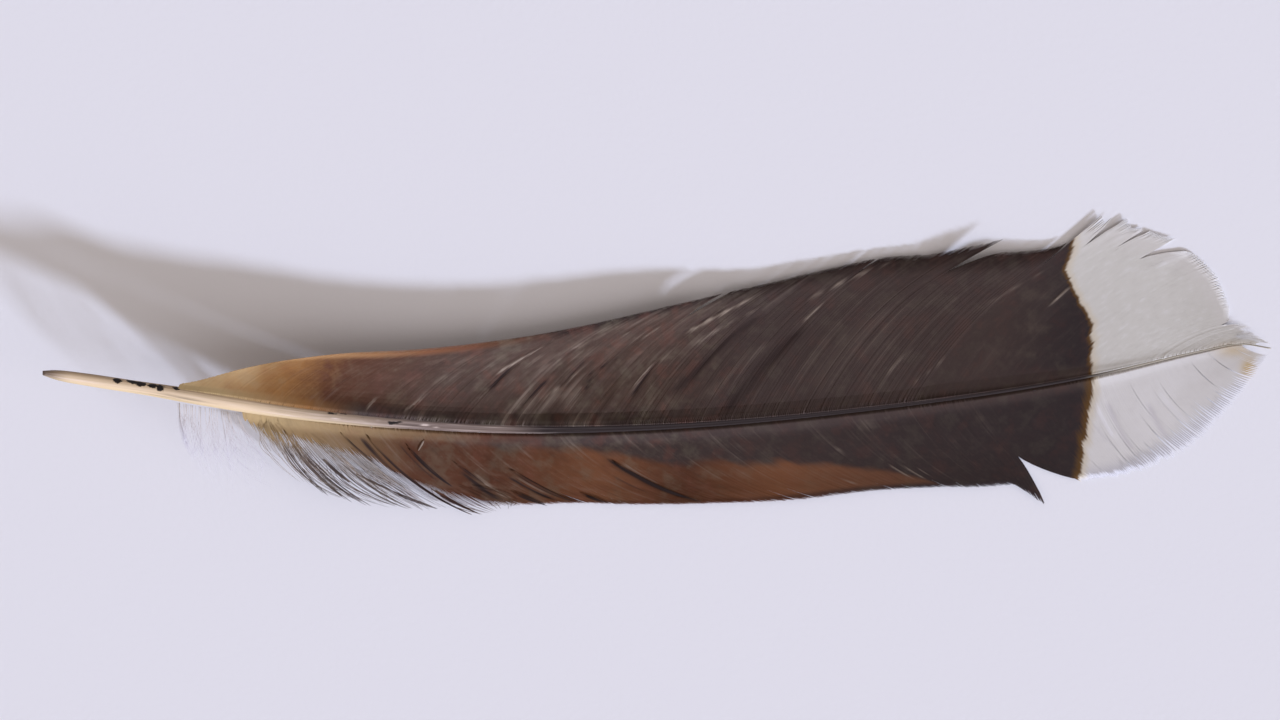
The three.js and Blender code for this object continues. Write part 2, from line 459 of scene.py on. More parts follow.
def finished_piece(mesh: bpy.types.Mesh, material: bpy.types.Material, node: str) -> bpy.types.Object:
    """Puts a finished mesh in the scene in place of its CAD node.

    Args:
        mesh: the mesh, in the frame's metres.
        material: its material.
        node: the CAD node that it stands for.

    Returns:
        The new object.
    """
    mesh.materials.clear()
    mesh.materials.append(material)
    piece = bpy.data.objects.new(node + "_barbs" if node != "shaft" else "shaft_horn", mesh)
    bpy.context.scene.collection.objects.link(piece)
    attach(piece, BODY)
    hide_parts(node)
    triangles = sum(len(face.vertices) - 2 for face in mesh.polygons)
    log.info("%s: %d triangles", piece.name, triangles)
    return piece


# ---------------------------------------------------------------- materials


class Pigment(str, Enum):
    """The few colours of the feather, as sRGB. Every ramp mixes these."""

    STRAW = "b89060"
    TAN = "a08860"
    GOLD = "805830"
    RUST = "704830"
    CHESTNUT = "503020"
    UMBER = "483830"
    SOOT = "403430"
    NIGHT = "302828"
    BLACK_BROWN = "281c18"
    ASH = "686058"
    CREAM_HORN = "c8b090"
    GREY_HORN = "786860"
    PALE_HORN = "a8a090"
    WHITE = "c8c4bc"
    THIN_WHITE = "d0ccc8"


def linear(code: str) -> tuple[float, float, float, float]:
    """Turns an sRGB hex colour into linear red, green, blue and alpha."""
    parts = [int(code[i : i + 2], 16) / 255 for i in (0, 2, 4)]
    return (*((c / 12.92 if c <= 0.04045 else ((c + 0.055) / 1.055) ** 2.4) for c in parts), 1.0)


def add_node(tree: bpy.types.NodeTree, kind: str, inputs: dict[Any, Any] | None = None,
             stops: tuple[tuple[float, str], ...] = (), **settings: Any) -> bpy.types.Node:
    """Adds a node with its settings and links.

    Args:
        tree: the material's node tree.
        kind: the node's type.
        inputs: values for its sockets, or output sockets to link to them, by name or index.
        stops: for a colour ramp, the position and sRGB hex colour of each stop.
        settings: the node's own properties.

    Returns:
        The node.
    """
    node = tree.nodes.new(kind)
    for key, value in settings.items():
        setattr(node, key, value)
    for i, (position, colour) in enumerate(stops):
        elements = node.color_ramp.elements
        stop = elements[i] if i < 2 else elements.new(position)
        stop.position = position
        stop.color = linear(colour)
    for key, value in (inputs or {}).items():
        if isinstance(value, bpy.types.NodeSocket):
            tree.links.new(value, node.inputs[key])
        else:
            node.inputs[key].default_value = value
    return node


def new_material(name: str, roughness: float, specular: float) -> bpy.types.Material:
    """Makes a material whose plain surface values are set on the shader's own sockets."""
    material = bpy.data.materials.new(name)
    material.use_nodes = True
    shader = material.node_tree.nodes["Principled BSDF"]
    shader.inputs["Roughness"].default_value = roughness
    shader.inputs["Specular IOR Level"].default_value = specular
    shader.inputs["IOR"].default_value = 1.55
    return material


class ColourStack:
    """A colour built up in a node tree from layers, from the ground up."""

    def __init__(self, tree: bpy.types.NodeTree, ground: Any) -> None:
        """Starts the stack from a ground colour, as a socket or a linear colour."""
        self.tree = tree
        self.top = ground

    def over(self, factor: Any, colour: Any, mode: str = "MIX") -> None:
        """Lays a colour over what is there.

        Args:
            factor: how much of it shows, as a socket or a number.
            colour: the colour, as a socket or an sRGB hex value.
            mode: how the two colours are mixed.
        """
        value = linear(colour) if isinstance(colour, str) else colour
        node = add_node(self.tree, "ShaderNodeMix", {0: factor, 6: self.top, 7: value},
                        data_type="RGBA", blend_type=mode, clamp_factor=True)
        self.top = node.outputs[2]


@dataclass(frozen=True)
class BarbFinish:
    """Keratin barbs hooked into a web: matt, finely ribbed, coloured by the pigment inside them. Over that colour lie
    painted glints, painted shade in creases, painted sheen in the inner vane's middle and the raised shaft's painted
    shadow.
    """

    name: str
    ground: Stops  # x in mm, colour of the pigmented web, partly painted sheen where the inner vane's middle is lighter
    # colour of the barbs by the shaft; on the inner vane its dark part is the raised shaft's painted shadow
    near_shaft_tone_and_shadow: Stops
    at_edge: Stops
    edge_from: float  # reach at which the edge colour begins
    rust: Stops = ((0, Pigment.RUST), (280, Pigment.RUST))
    near_to: float = 0.12  # reach at which the colour near the shaft ends
    edge_to: float = 0.97
    white: Stops = ((232, Pigment.WHITE), (280, Pigment.WHITE))
    # lighter and darker whites for the white end's fine streaks and marks; its marks include painted glints on raised
    # barb tips and a lobe's painted shadow
    white_light: str = "d8d4cd"
    white_shade: str = "b3aea7"
    halo: str = "c6bba8"
    stain: str = "c2a56a"
    rim: str = "5b4123"
    rim_width: float = 1.2
    warm_patch: str = "704437"
    cool_patch: str = "6d6655"
    patch: float = 5.5  # mm across the soft patches that differ in hue
    light_streak: str = "7f6a5b"
    # colour of the lighter marks: random clumps, and painted glints
    light_mark: str = "8f8072"
    white_edge: str = "cdc8c2"
    # colour of dark streaks and darker marks: random streaks, darker barbs and painted crease shade
    dark_streak: str = "2a1f1d"
    streak_pitch: float = 1.3  # mm between the fine streaks that run along the barbs
    contrast: float = 0.12  # how strongly they show
    hue_shift: float = 0.24  # how strongly the patches show
    roughness: float = 0.7

    def make(self) -> bpy.types.Material:
        """Builds the material."""
        material = new_material(self.name, self.roughness, 0.08)
        tree = material.node_tree
        place = add_node(tree, "ShaderNodeTexCoord").outputs["Object"]
        x = add_node(tree, "ShaderNodeSeparateXYZ", {0: place}).outputs["X"]
        half = FeatherPlan.length * MM / 2
        share = add_node(tree, "ShaderNodeMapRange", {0: x, 1: -half, 2: half}).outputs[0]
        barbs = add_node(tree, "ShaderNodeUVMap", uv_map="Barbs").outputs[0]
        reach = add_node(tree, "ShaderNodeSeparateXYZ", {0: barbs}).outputs["Y"]
        marks = {
            key: add_node(tree, "ShaderNodeAttribute", attribute_name=key).outputs["Fac"]
            for key in ("tone", "beyond", "rust", "stain")
        }
        fine = self._streaks(tree, barbs, self.streak_pitch, 14.0)
        broad = self._streaks(tree, barbs, 4.0 * self.streak_pitch, 7.0)
        spots = {"Vector": place, "Scale": 1.0 / (self.patch * MM), "Detail": 4.0, "Roughness": 0.6}
        patches = add_node(tree, "ShaderNodeTexNoise", spots).outputs[0]
        calm = self._between(tree, share, 0.6, 0.5, 0.65)
        plain = add_node(tree, "ShaderNodeMath", {0: calm, 1: 0.35}, operation="ADD").outputs[0]
        early = self._between(tree, share, 0.2, 0.34, 0.55)
        grown = add_node(tree, "ShaderNodeMath", {0: early, 1: 0.45}, operation="ADD").outputs[0]
        strong = add_node(tree, "ShaderNodeMath", {0: plain, 1: grown}, operation="MULTIPLY").outputs[0]
        seen = add_node(tree, "ShaderNodeMath", {0: strong, 1: self.contrast}, operation="MULTIPLY").outputs[0]
        hue = add_node(tree, "ShaderNodeMath", {0: strong, 1: self.hue_shift}, operation="MULTIPLY").outputs[0]

        # The ground colours wander along the feather and reach further along its edge.
        wandered = add_node(tree, "ShaderNodeMath", {0: patches, 1: 0.06, 2: share}, operation="MULTIPLY_ADD")
        slanted = {0: reach, 1: -0.03, 2: wandered.outputs[0]}
        slant = add_node(tree, "ShaderNodeMath", slanted, operation="MULTIPLY_ADD").outputs[0]
        drawn = add_node(tree, "ShaderNodeMath", {0: slant, 1: -0.015}, operation="ADD").outputs[0]

        dark = ColourStack(tree, self._along(tree, drawn, self.ground))
        dark.over(marks["rust"], self._along(tree, share, self.rust))
        # Colour by the shaft, with the raised shaft's painted shadow on the inner vane.
        dark.over(self._between(tree, reach, self.near_to, 0.01), self._along(tree, share, self.near_shaft_tone_and_shadow))
        dark.over(self._between(tree, reach, self.edge_from, self.edge_to), self._along(tree, share, self.at_edge))
        dark.over(self._between(tree, patches, 0.5, 0.68, hue), self.warm_patch)
        dark.over(self._between(tree, patches, 0.5, 0.32, hue), self.cool_patch)
        dark.over(self._between(tree, broad, 0.5, 0.75, seen), self.light_streak)
        dark.over(self._between(tree, broad, 0.5, 0.25, seen), self.dark_streak)
        dark.over(self._between(tree, fine, 0.5, 0.75, seen), self.light_streak)
        dark.over(self._between(tree, fine, 0.5, 0.25, seen), self.dark_streak)
        # Marks from the tone: random clumps and darker barbs, with painted glints and painted crease shade.
        dark.over(self._between(tree, marks["tone"], 0.0, 1.0), self.light_mark)
        dark.over(self._between(tree, marks["tone"], 0.0, -1.0), self.dark_streak)
        dark.over(self._between(tree, marks["beyond"], -self.rim_width, -0.1), self.rim)

        pale = ColourStack(tree, self._along(tree, share, self.white))
        pale.over(self._between(tree, fine, 0.5, 0.75, 2 * self.contrast), self.white_light)
        pale.over(self._between(tree, fine, 0.5, 0.25, 2 * self.contrast), self.white_shade)
        # Painted glints and a lobe's painted shadow among the white end's marks.
        pale.over(self._between(tree, marks["tone"], 0.1, 0.8), self.white_light)
        pale.over(self._between(tree, marks["tone"], -0.1, -0.8), self.white_shade)
        pale.over(self._between(tree, reach, 0.78, 0.98), self.white_edge)
        pale.over(self._between(tree, marks["beyond"], 2.4, 0.0), self.halo)
        pale.over(marks["stain"], self.stain)
        dark.over(self._between(tree, marks["beyond"], -0.35, 0.5), pale.top)

        shader = tree.nodes["Principled BSDF"]
        tree.links.new(dark.top, shader.inputs["Base Color"])
        return material

    def _streaks(self, tree: bpy.types.NodeTree, barbs: Any, pitch: float, along: float) -> Any:
        """Adds noise drawn out along the barbs, with its pitch in mm along the shaft."""
        scale = (FeatherPlan.length / pitch, along, 1.0)
        drawn = add_node(tree, "ShaderNodeMapping", {0: barbs, 3: scale}).outputs[0]
        settings = {"Vector": drawn, "Scale": 1.0, "Detail": 3.0}
        return add_node(tree, "ShaderNodeTexNoise", settings).outputs[0]

    def _along(self, tree: bpy.types.NodeTree, share: Any, stops: Stops) -> Any:
        """Adds a colour that changes along the feather, from stops at x in mm."""
        placed = tuple((x / FeatherPlan.length, colour) for x, colour in stops)
        return add_node(tree, "ShaderNodeValToRGB", {0: share}, placed).outputs[0]

    def _between(self, tree: bpy.types.NodeTree, value: Any, low: float, high: float, top: Any = 1.0) -> Any:
        """Adds a factor that rises smoothly from 0 at low to top at high."""
        settings = {0: value, 1: low, 2: high, 4: top}
        return add_node(tree, "ShaderNodeMapRange", settings, interpolation_type="SMOOTHSTEP").outputs[0]


@dataclass(frozen=True)
class HornFinish:
    """Keratin horn of the shaft: smooth and slightly glossy, cream at the quill, dark in the vane. Painted highlights,
    a painted shaded line on the flank towards the inner vane and a painted lit line on the flank towards the outer vane
    lie over its colour.
    """

    name: str = "keratin_horn_with_painted_highlights"
    # Beyond 114 mm the horn is dark, and partly painted shade: there the thin shaft shows mostly as its shaded line.
    along: Stops = (
        (0, Pigment.GREY_HORN), (6, Pigment.CREAM_HORN), (46, Pigment.CREAM_HORN), (84, Pigment.GREY_HORN),
        (104, Pigment.GREY_HORN), (114, Pigment.NIGHT), (237, Pigment.NIGHT), (250, Pigment.PALE_HORN),
    )  # fmt: skip
    # painted shade along the flank towards the inner vane, which faces away from the key light
    shaded_edge_line: str = "7b6048"
    # painted light along the flank towards the outer vane, which faces the key light
    lit_low_line: str = "c2ac7f"
    soot: str = "1d1614"
    # colour of the painted highlights, glints of the key light on the horn
    painted_highlight: str = "dccabe"
    grain_line: str = "3a2d29"
    grain: float = 0.5  # mm between the fine lines that run along the horn
    roughness: float = 0.5

    def make(self) -> bpy.types.Material:
        """Builds the material."""
        material = new_material(self.name, self.roughness, 0.2)
        tree = material.node_tree
        barrel = add_node(tree, "ShaderNodeUVMap", uv_map="Barrel").outputs[0]
        parts = add_node(tree, "ShaderNodeSeparateXYZ", {0: barrel}).outputs
        placed = tuple((x / FeatherPlan.length, colour) for x, colour in self.along)
        girth = 2 * math.pi * 1.4
        lines = add_node(tree, "ShaderNodeMapping", {0: barrel, 3: (14.0, girth / self.grain, 1.0)}).outputs[0]
        grain = add_node(tree, "ShaderNodeTexNoise", {"Vector": lines, "Scale": 1.0, "Detail": 4.0}).outputs[0]
        place = add_node(tree, "ShaderNodeTexCoord").outputs["Object"]
        spots = add_node(tree, "ShaderNodeTexNoise", {"Vector": place, "Scale": 1.0 / (0.7 * MM), "Detail": 4.0})
        marks = {
            key: add_node(tree, "ShaderNodeAttribute", attribute_name=key).outputs["Fac"]
            for key in ("soot", "painted_highlight", "shaded_edge_line", "lit_low_line")
        }
        colour = ColourStack(tree, add_node(tree, "ShaderNodeValToRGB", {0: parts["X"]}, placed).outputs[0])
        # Painted highlight streaks along the grain of the bare quill, then painted highlight spots.
        bare = self._share(tree, parts["X"], 0.47, 0.34)
        light = add_node(tree, "ShaderNodeMath", {0: self._share(tree, grain, 0.5, 0.9), 1: bare}, operation="MULTIPLY")
        colour.over(light.outputs[0], self.painted_highlight)
        colour.over(self._share(tree, grain, 0.5, 0.12), self.grain_line)
        # Painted shade on the flank away from the key, and painted light on the flank facing it.
        colour.over(marks["shaded_edge_line"], self.shaded_edge_line)
        colour.over(marks["lit_low_line"], self.lit_low_line)
        colour.over(self._spotted(tree, marks["painted_highlight"], grain, 0.9, 1.3), self.painted_highlight)
        colour.over(self._spotted(tree, marks["soot"], spots.outputs[0], 1.1, 0.62), self.soot)
        shader = tree.nodes["Principled BSDF"]
        tree.links.new(colour.top, shader.inputs["Base Color"])
        bump = add_node(tree, "ShaderNodeBump", {"Height": grain, "Distance": 0.08 * MM, "Strength": 0.6})
        tree.links.new(bump.outputs[0], shader.inputs["Normal"])
        return material

    def _share(self, tree: bpy.types.NodeTree, value: Any, low: float, high: float) -> Any:
        """Adds a factor that rises smoothly from 0 at low to 1 at high."""
        settings = {0: value, 1: low, 2: high}
        return add_node(tree, "ShaderNodeMapRange", settings, interpolation_type="SMOOTHSTEP").outputs[0]

    def _spotted(self, tree: bpy.types.NodeTree, mark: Any, noise: Any, bite: float, full: float) -> Any:
        """Adds a mark's strength with ragged edges that the noise bites into, and its full strength."""
        bitten = add_node(tree, "ShaderNodeMath", {0: noise, 1: -bite, 2: bite / 2}, operation="MULTIPLY_ADD")
        total = add_node(tree, "ShaderNodeMath", {0: bitten.outputs[0], 1: mark}, operation="ADD").outputs[0]
        return self._share(tree, total, 0.35, full)


@dataclass(frozen=True)
class DownFinish:
    """Unhooked down: fine pale filaments that scatter light, so they look like grey smoke."""

    name: str = "soft_grey_down"
    root: str = "b7a897"
    tip: str = "b9b2bb"

    def make(self) -> bpy.types.Material:
        """Builds the material."""
        material = new_material(self.name, 0.85, 0.2)
        tree = material.node_tree
        barbs = add_node(tree, "ShaderNodeUVMap", uv_map="Barbs").outputs[0]
        reach = add_node(tree, "ShaderNodeSeparateXYZ", {0: barbs}).outputs["Y"]
        ramp = add_node(tree, "ShaderNodeValToRGB", {0: reach}, ((0.0, self.root), (0.5, self.tip)))
        tree.links.new(ramp.outputs[0], tree.nodes["Principled BSDF"].inputs["Base Color"])
        return material


@dataclass(frozen=True)
class PaperFinish:
    """Pale matt paper with a faint tooth, which the feather lies on."""

    name: str = "matt_white_paper"
    colour: str = "e8e7ea"
    tooth: float = 1.2  # mm between the bumps of the paper's surface

    def make(self) -> bpy.types.Material:
        """Builds the material."""
        material = new_material(self.name, 0.9, 0.1)
        tree = material.node_tree
        place = add_node(tree, "ShaderNodeTexCoord").outputs["Object"]
        settings = {"Vector": place, "Scale": 1.0 / (self.tooth * MM), "Detail": 3.0}
        noise = add_node(tree, "ShaderNodeTexNoise", settings).outputs[0]
        shader = tree.nodes["Principled BSDF"]
        shader.inputs["Base Color"].default_value = linear(self.colour)
        bump = add_node(tree, "ShaderNodeBump", {"Height": noise, "Distance": 0.06 * MM, "Strength": 0.35})
        tree.links.new(bump.outputs[0], shader.inputs["Normal"])
        return material


# ---------------------------------------------------------------- the shaft


@dataclass(frozen=True)
class HornMark:
    """A mark on the shaft: where it lies along and around, and how big it is."""

    x: float
    turn: float  # degrees round from straight up, positive towards the inner vane
    length: float  # mm to each side
    width: float  # degrees to each side
    strength: float = 1.0

    def at(self, x: np.ndarray, turn: np.ndarray) -> np.ndarray:
        """Returns the mark's strength at each place on the shaft."""
        along = np.exp(-(((x - self.x) / self.length) ** 2))
        return self.strength * along * np.exp(-(((turn - self.turn) / self.width) ** 2))


@dataclass
class Shaft:
    """The bare quill and the tapering, grooved shaft of the vane, grown as one."""

    plan: FeatherPlan
    finish: HornFinish
    sides: int = 28
    stations: int = 380
    groove_from: float = 84.0  # x at which the groove of the vane's shaft is full
    groove_depth: float = 0.2  # share of the radius
    groove_width: float = 17.0  # degrees to each side
    flattened: float = 0.25  # how much lower than round the vane's shaft is
    mouth_depth: float = 2.5  # the small opening at the quill's end
    soot: tuple[HornMark, ...] = (
        HornMark(16.9, 40, 0.9, 34, 1.25), HornMark(20.0, 54, 1.0, 26, 1.1), HornMark(22.3, 42, 1.3, 30, 1.15),
        HornMark(24.8, 40, 0.8, 28, 1.1), HornMark(26.7, 30, 0.9, 36, 1.25), HornMark(30.2, 50, 1.0, 24, 1.0),
        HornMark(33.5, 74, 1.6, 16, 0.7), HornMark(65.5, 30, 1.5, 14, 0.85), HornMark(68.6, 42, 1.2, 12, 0.8),
        HornMark(79.2, -2, 1.1, 18, 1.1), HornMark(81.0, 14, 0.6, 14), HornMark(72.4, 20, 1.0, 10, 0.7),
    )  # fmt: skip
    # Painted highlights: where the key light glints on the shaft.
    painted_highlight: tuple[HornMark, ...] = (
        HornMark(62.0, 5, 4.0, 14, 0.7), HornMark(72.0, -8, 3.0, 12, 0.7), HornMark(80.2, 12, 0.9, 12),
        HornMark(86.8, 4, 1.4, 14, 1.2), HornMark(94.0, 22, 5.0, 9, 0.8), HornMark(96.0, -24, 7.0, 9, 0.8),
        HornMark(106.0, 18, 5.0, 8, 0.7), HornMark(109.0, -34, 5.0, 9, 0.7), HornMark(138.0, -52, 14.0, 9, 0.55),
        HornMark(66.5, -14, 1.6, 10, 0.9), HornMark(76.2, 8, 1.2, 9, 0.9), HornMark(89.4, -12, 1.0, 9, 0.9),
    )  # fmt: skip

    def build(self) -> bpy.types.Object:
        """Builds the shaft's tube, bends it to its line, marks it and dresses it."""
        layout = StrandLayout.make("shaft_tube", 1, self.stations, self.sides)
        last = self.stations - 1
        x = self.plan.length * layout.station / last
        turn = np.degrees(np.arctan2(layout.across, layout.up))
        radius = self.plan.shaft_radius(x)
        grooved = smooth_step((x - self.groove_from + 12) / 24) * smooth_step((238 - x) / 40)
        dip = self.groove_depth * grooved * np.exp(-((turn / self.groove_width) ** 2))
        section = radius * (1 - dip)
        y = self.plan.shaft_y(x) + section * np.sin(np.radians(turn))
        flat = 1 - self.flattened * smooth_step((x - 40) / 50)
        z = self.plan.lift(x) + (radius + section * np.cos(np.radians(turn))) * flat
        co = self.plan.to_frame(np.stack([x, y, z], -1))
        mesh = layout.mesh
        mesh.vertices.foreach_set("co", co.astype(np.float32).ravel())
        marks = {
            "soot": sum(mark.at(x, turn) for mark in self.soot),
            # painted highlights
            "painted_highlight": sum(mark.at(x, turn) for mark in self.painted_highlight),
            # painted shade on the flank away from the key, painted light on the flank facing it
            "shaded_edge_line": 0.8 * np.exp(-(((turn - 78) / 16) ** 2)) * smooth_step((100 - x) / 40),
            "lit_low_line": 0.6 * np.exp(-(((turn + 62) / 16) ** 2)) * smooth_step((90 - x) / 30),
        }
        for name, values in marks.items():
            layer = mesh.attributes.new(name, "FLOAT", "POINT")
            layer.data.foreach_set("value", values.astype(np.float32))
        self._wrap(mesh, x, turn)
        self._open_mouth(mesh)
        mesh.polygons.foreach_set("use_smooth", np.ones(len(mesh.polygons), bool))
        mesh.update()
        return finished_piece(mesh, self.finish.make(), "shaft")

    def _wrap(self, mesh: bpy.types.Mesh, x: np.ndarray, turn: np.ndarray) -> None:
        """Unrolls the tube onto a UV map whose seam runs along the bottom."""
        vertex = np.empty(len(mesh.loops), np.int32)
        mesh.loops.foreach_get("vertex_index", vertex)
        sizes = np.empty(len(mesh.polygons), np.int32)
        mesh.polygons.foreach_get("loop_total", sizes)
        face = np.repeat(np.arange(len(sizes)), sizes)
        around = turn[vertex] / 360 + 0.5
        first = np.full(len(sizes), 2.0)
        np.minimum.at(first, face, around)
        final = np.full(len(sizes), -1.0)
        np.maximum.at(final, face, around)
        crosses = (final - first > 0.5)[face]
        around = np.where(crosses & (around < 0.5), around + 1.0, around)
        layer = mesh.uv_layers.new(name="Barrel")
        uv = np.stack([x[vertex] / self.plan.length, around], -1)
        layer.data.foreach_set("uv", uv.astype(np.float32).ravel())

    def _open_mouth(self, mesh: bpy.types.Mesh) -> None:
        """Sinks the small opening into the quill's end."""
        bm = bmesh.new()
        bm.from_mesh(mesh)
        end = min(bm.faces, key=lambda face: face.calc_center_median().x)
        bmesh.ops.inset_region(bm, faces=[end], thickness=0.18 * MM, use_even_offset=True)
        moved = bmesh.ops.extrude_discrete_faces(bm, faces=[end])["faces"]
        inward = Vector((self.mouth_depth * MM, 0, -0.4 * MM))
        bmesh.ops.translate(bm, verts=moved[0].verts, vec=inward)
        bm.to_mesh(mesh)
        bm.free()


# ---------------------------------------------------------------- the vanes


@dataclass(frozen=True)
class Parting:
    """How a web's edge barbs stand off its outline where the vane is split beside it."""

    first: tuple[float, float] = (0.0, 0.0)  # shift of the tips at the web's quill end
    last: tuple[float, float] = (0.0, 0.0)  # and at its far end
    width: float = 1.0  # share of the web that follows each edge
    start: float = 0.5  # reach at which the barbs start to part

    def at(self, share: np.ndarray, reach: np.ndarray) -> np.ndarray:
        """Returns the (..., 2) shift in plan of each place on the web."""
        first = np.maximum(0, 1 - share / self.width)[..., None] * np.array(self.first)
        last = np.maximum(0, 1 - (1 - share) / self.width)[..., None] * np.array(self.last)
        opened = np.maximum(0, (reach - self.start) / (1 - self.start)) ** 1.5
        return (first + last) * opened[..., None]


@dataclass(frozen=True)
class Lock:
    """A few loose barbs that lie together on the vane as one dark or light strand."""

    root: float
    start: float
    end: float
    hairs: int = 5
    spread: float = 0.5  # mm along the shaft to each side, where it is widest
    drift: float = 0.0  # mm along the shaft that the lock moves from start to end
    tone: float = -1.0
    thick: float = 0.16  # mm, half width of a hair
    fray: float = 0.1  # how unevenly its hairs end


@dataclass
class Web:
    """The barbs between two splits of a vane, hooked together side by side."""

    plan: FeatherPlan
    vane: Vane
    band: WhiteBand
    node: str
    slot: str
    start: float
    end: float
    parting: Parting = Parting()
    pitch: float = 0.42  # mm between barbs along the shaft
    cover: float = 1.45  # width of a barb as a share of the pitch
    closed: Rows = ((0, 0.95), (280, 0.95))  # root, reach up to which the web is closed
    fade: float = 0.1  # reach over which the barbs thin out beyond that
    thin: float = 0.5  # their width there, as a share of the closed width
    sparse: float = 0.0  # how much thinner the barbs are in the white end
    edge: Rows = ((0, 0.98), (280, 0.98))  # root, reach of the barbs' tips
    ragged: float = 0.006  # spread of the tips' reach
    wander: float = 0.05  # mm along the shaft that a barb strays
    clump: float = 0.04  # how far the tips gather into clumps
    clump_size: float = 5.0  # mm along the shaft
    grain: float = 0.05  # how much lighter or darker one barb is than the next
    locks: tuple[Lock, ...] = ()
    rust: Rows = ((0, 2.0), (280, 2.0))  # root, reach at which the rust colour begins
    seed: int = 1
    stations: int = 20
    slender: float = 0.025  # mm, the least half width of a barb
    deep: float = 0.032  # mm, half the depth of a barb
    stout: float = 0.7  # the most that its depth can be, as a share of its width
    uneven: float = 0.012  # mm by which one barb lies higher than the next

    def build(self, material: bpy.types.Material) -> bpy.types.Object:
        """Lays the web's barbs and loose locks, and dresses them.

        Args:
            material: the finish of the barbs.

        Returns:
            The finished piece.
        """
        rng = np.random.default_rng(self.seed)
        bed = self._bed(rng)
        parts = [bed] + [self._lock(lock, rng) for lock in self.locks]
        root, reach, wide, raised, tone = (np.concatenate(group) for group in zip(*parts))
        layout = StrandLayout.make(self.node + "_barbs", len(root), self.stations)
        point = self._point(root, reach)
        beside = self._point(root + 0.2, reach)
        base = self._surface(root, reach, point)
        roll = self._roll(point, base, beside - point, self._surface(root + 0.2, reach, beside) - base)
        line = np.concatenate([point, (base + raised)[..., None]], -1)
        roll = roll * smooth_step((reach - 0.02) / 0.1)
        layout.place(self.plan, line, wide, np.minimum(self.deep, self.stout * wide), roll)
        layout.map_barbs(root / self.plan.length, reach)
        layout.attribute("tone", np.clip(tone + self.vane.tone(root, reach), -1, 1))
        ragged = rng.normal(0, 0.12, (len(root), 1)) + 0.4 * BarbNoise(5, 2.5, 2.0)(root, reach)
        layout.attribute("beyond", self.band.beyond(point) + ragged)
        rusty = SmoothTable(self.rust).one(root) + 0.05 * BarbNoise(7, 3.0, 2.0)(root, reach)
        layout.attribute("rust", smooth_step((reach - rusty) / 0.12 + 0.5))
        layout.attribute("stain", self._stain(point))
        return finished_piece(layout.mesh, material, self.node)

    @staticmethod
    def _roll(point: np.ndarray, height: np.ndarray, step: np.ndarray, rise: np.ndarray) -> np.ndarray:
        """Finds the vane's slope square to each barb, so that neighbours lie flush.

        Args:
            point: (strand, station, 2) plan positions.
            height: (strand, station) heights there.
            step: (strand, station, 2) plan steps to a place beside each.
            rise: (strand, station) changes in height over those steps.

        Returns:
            (strand, station) slopes, positive where the vane rises to the barb's left.
        """
        run = np.gradient(point, axis=1)
        length = np.linalg.norm(run, axis=-1)
        climb = np.gradient(height, axis=1) / length
        run = run / length[..., None]
        forth = (step * run).sum(-1)
        left = step[..., 1] * run[..., 0] - step[..., 0] * run[..., 1]
        return np.clip((rise - forth * climb) / left, -0.6, 0.6)

    def _bed(self, rng: np.random.Generator) -> tuple[np.ndarray, ...]:
        """Lays the hooked barbs: their roots, reaches, half widths, heights and tones."""
        lap = 0.3
        count = round((self.end - self.start + 2 * lap) / self.pitch)
        pitch = (self.end - self.start + 2 * lap) / count
        root = self.start - lap + pitch * (np.arange(count) + 0.5 + rng.uniform(-0.15, 0.15, count))
        tips = SmoothTable(self.edge).one(root) + rng.normal(0, self.ragged, count)
        reach = tips[:, None] * np.linspace(0, 1, self.stations)[None, :] ** 1.25
        root = np.broadcast_to(root[:, None], reach.shape)
        along = self._point(root, reach + 0.01) - self._point(root, reach - 0.01)
        step = self._point(root + 0.1, reach) - self._point(root - 0.1, reach)
        square = np.abs(along[..., 0] * step[..., 1] - along[..., 1] * step[..., 0])
        spaced = square / np.linalg.norm(along, axis=-1) / 0.2
        share = np.linspace(0, 1, self.stations)[None, :]
        thinned = smooth_step((reach - SmoothTable(self.closed).one(root)) / self.fade)
        wide = 0.5 * pitch * spaced * self.cover * (1 - (1 - self.thin) * thinned)
        wide = wide * (1 - self.sparse * smooth_step(self.band.beyond(self._point(root, reach)) / 3.0))
        wide = wide * (1 - 0.65 * smooth_step((share - 0.94) / 0.06)) * rng.uniform(0.88, 1.12, (count, 1))
        wide = np.clip(wide, self.slender, 0.45)
        moved = self._strayed(root, reach)
        raised = self.uneven * rng.standard_normal((count, 1)) * np.ones_like(reach)
        tone = self.grain * rng.standard_normal((count, 1)) * np.ones_like(reach)
        return moved, reach, wide, raised, tone

    def _lock(self, lock: Lock, rng: np.random.Generator) -> tuple[np.ndarray, ...]:
        """Lays one lock of loose barbs, in the same form as the bed."""
        share = np.linspace(0, 1, self.stations)[None, :]
        place = rng.uniform(-1, 1, (lock.hairs, 1))
        begins = lock.start + rng.uniform(0, 0.6 * lock.fray, (lock.hairs, 1))
        ends = lock.end - rng.uniform(0, lock.fray, (lock.hairs, 1))
        reach = begins + (ends - begins) * share
        fan = 0.35 + 0.65 * np.sin(math.pi * (0.15 + 0.75 * share))
        root = lock.root + lock.drift * share + lock.spread * place * fan
        swell = 0.3 + 0.7 * np.sin(math.pi * share) ** 0.7
        wide = lock.thick * swell * rng.uniform(0.7, 1.2, (lock.hairs, 1))
        raised = 0.12 + 0.1 * rng.random((lock.hairs, 1)) + 0.1 * np.sin(math.pi * share)
        fades_in = smooth_step(share / 0.3)
        tone = lock.tone * rng.uniform(0.5, 1.0, (lock.hairs, 1)) * fades_in
        return root, reach, wide, raised, tone

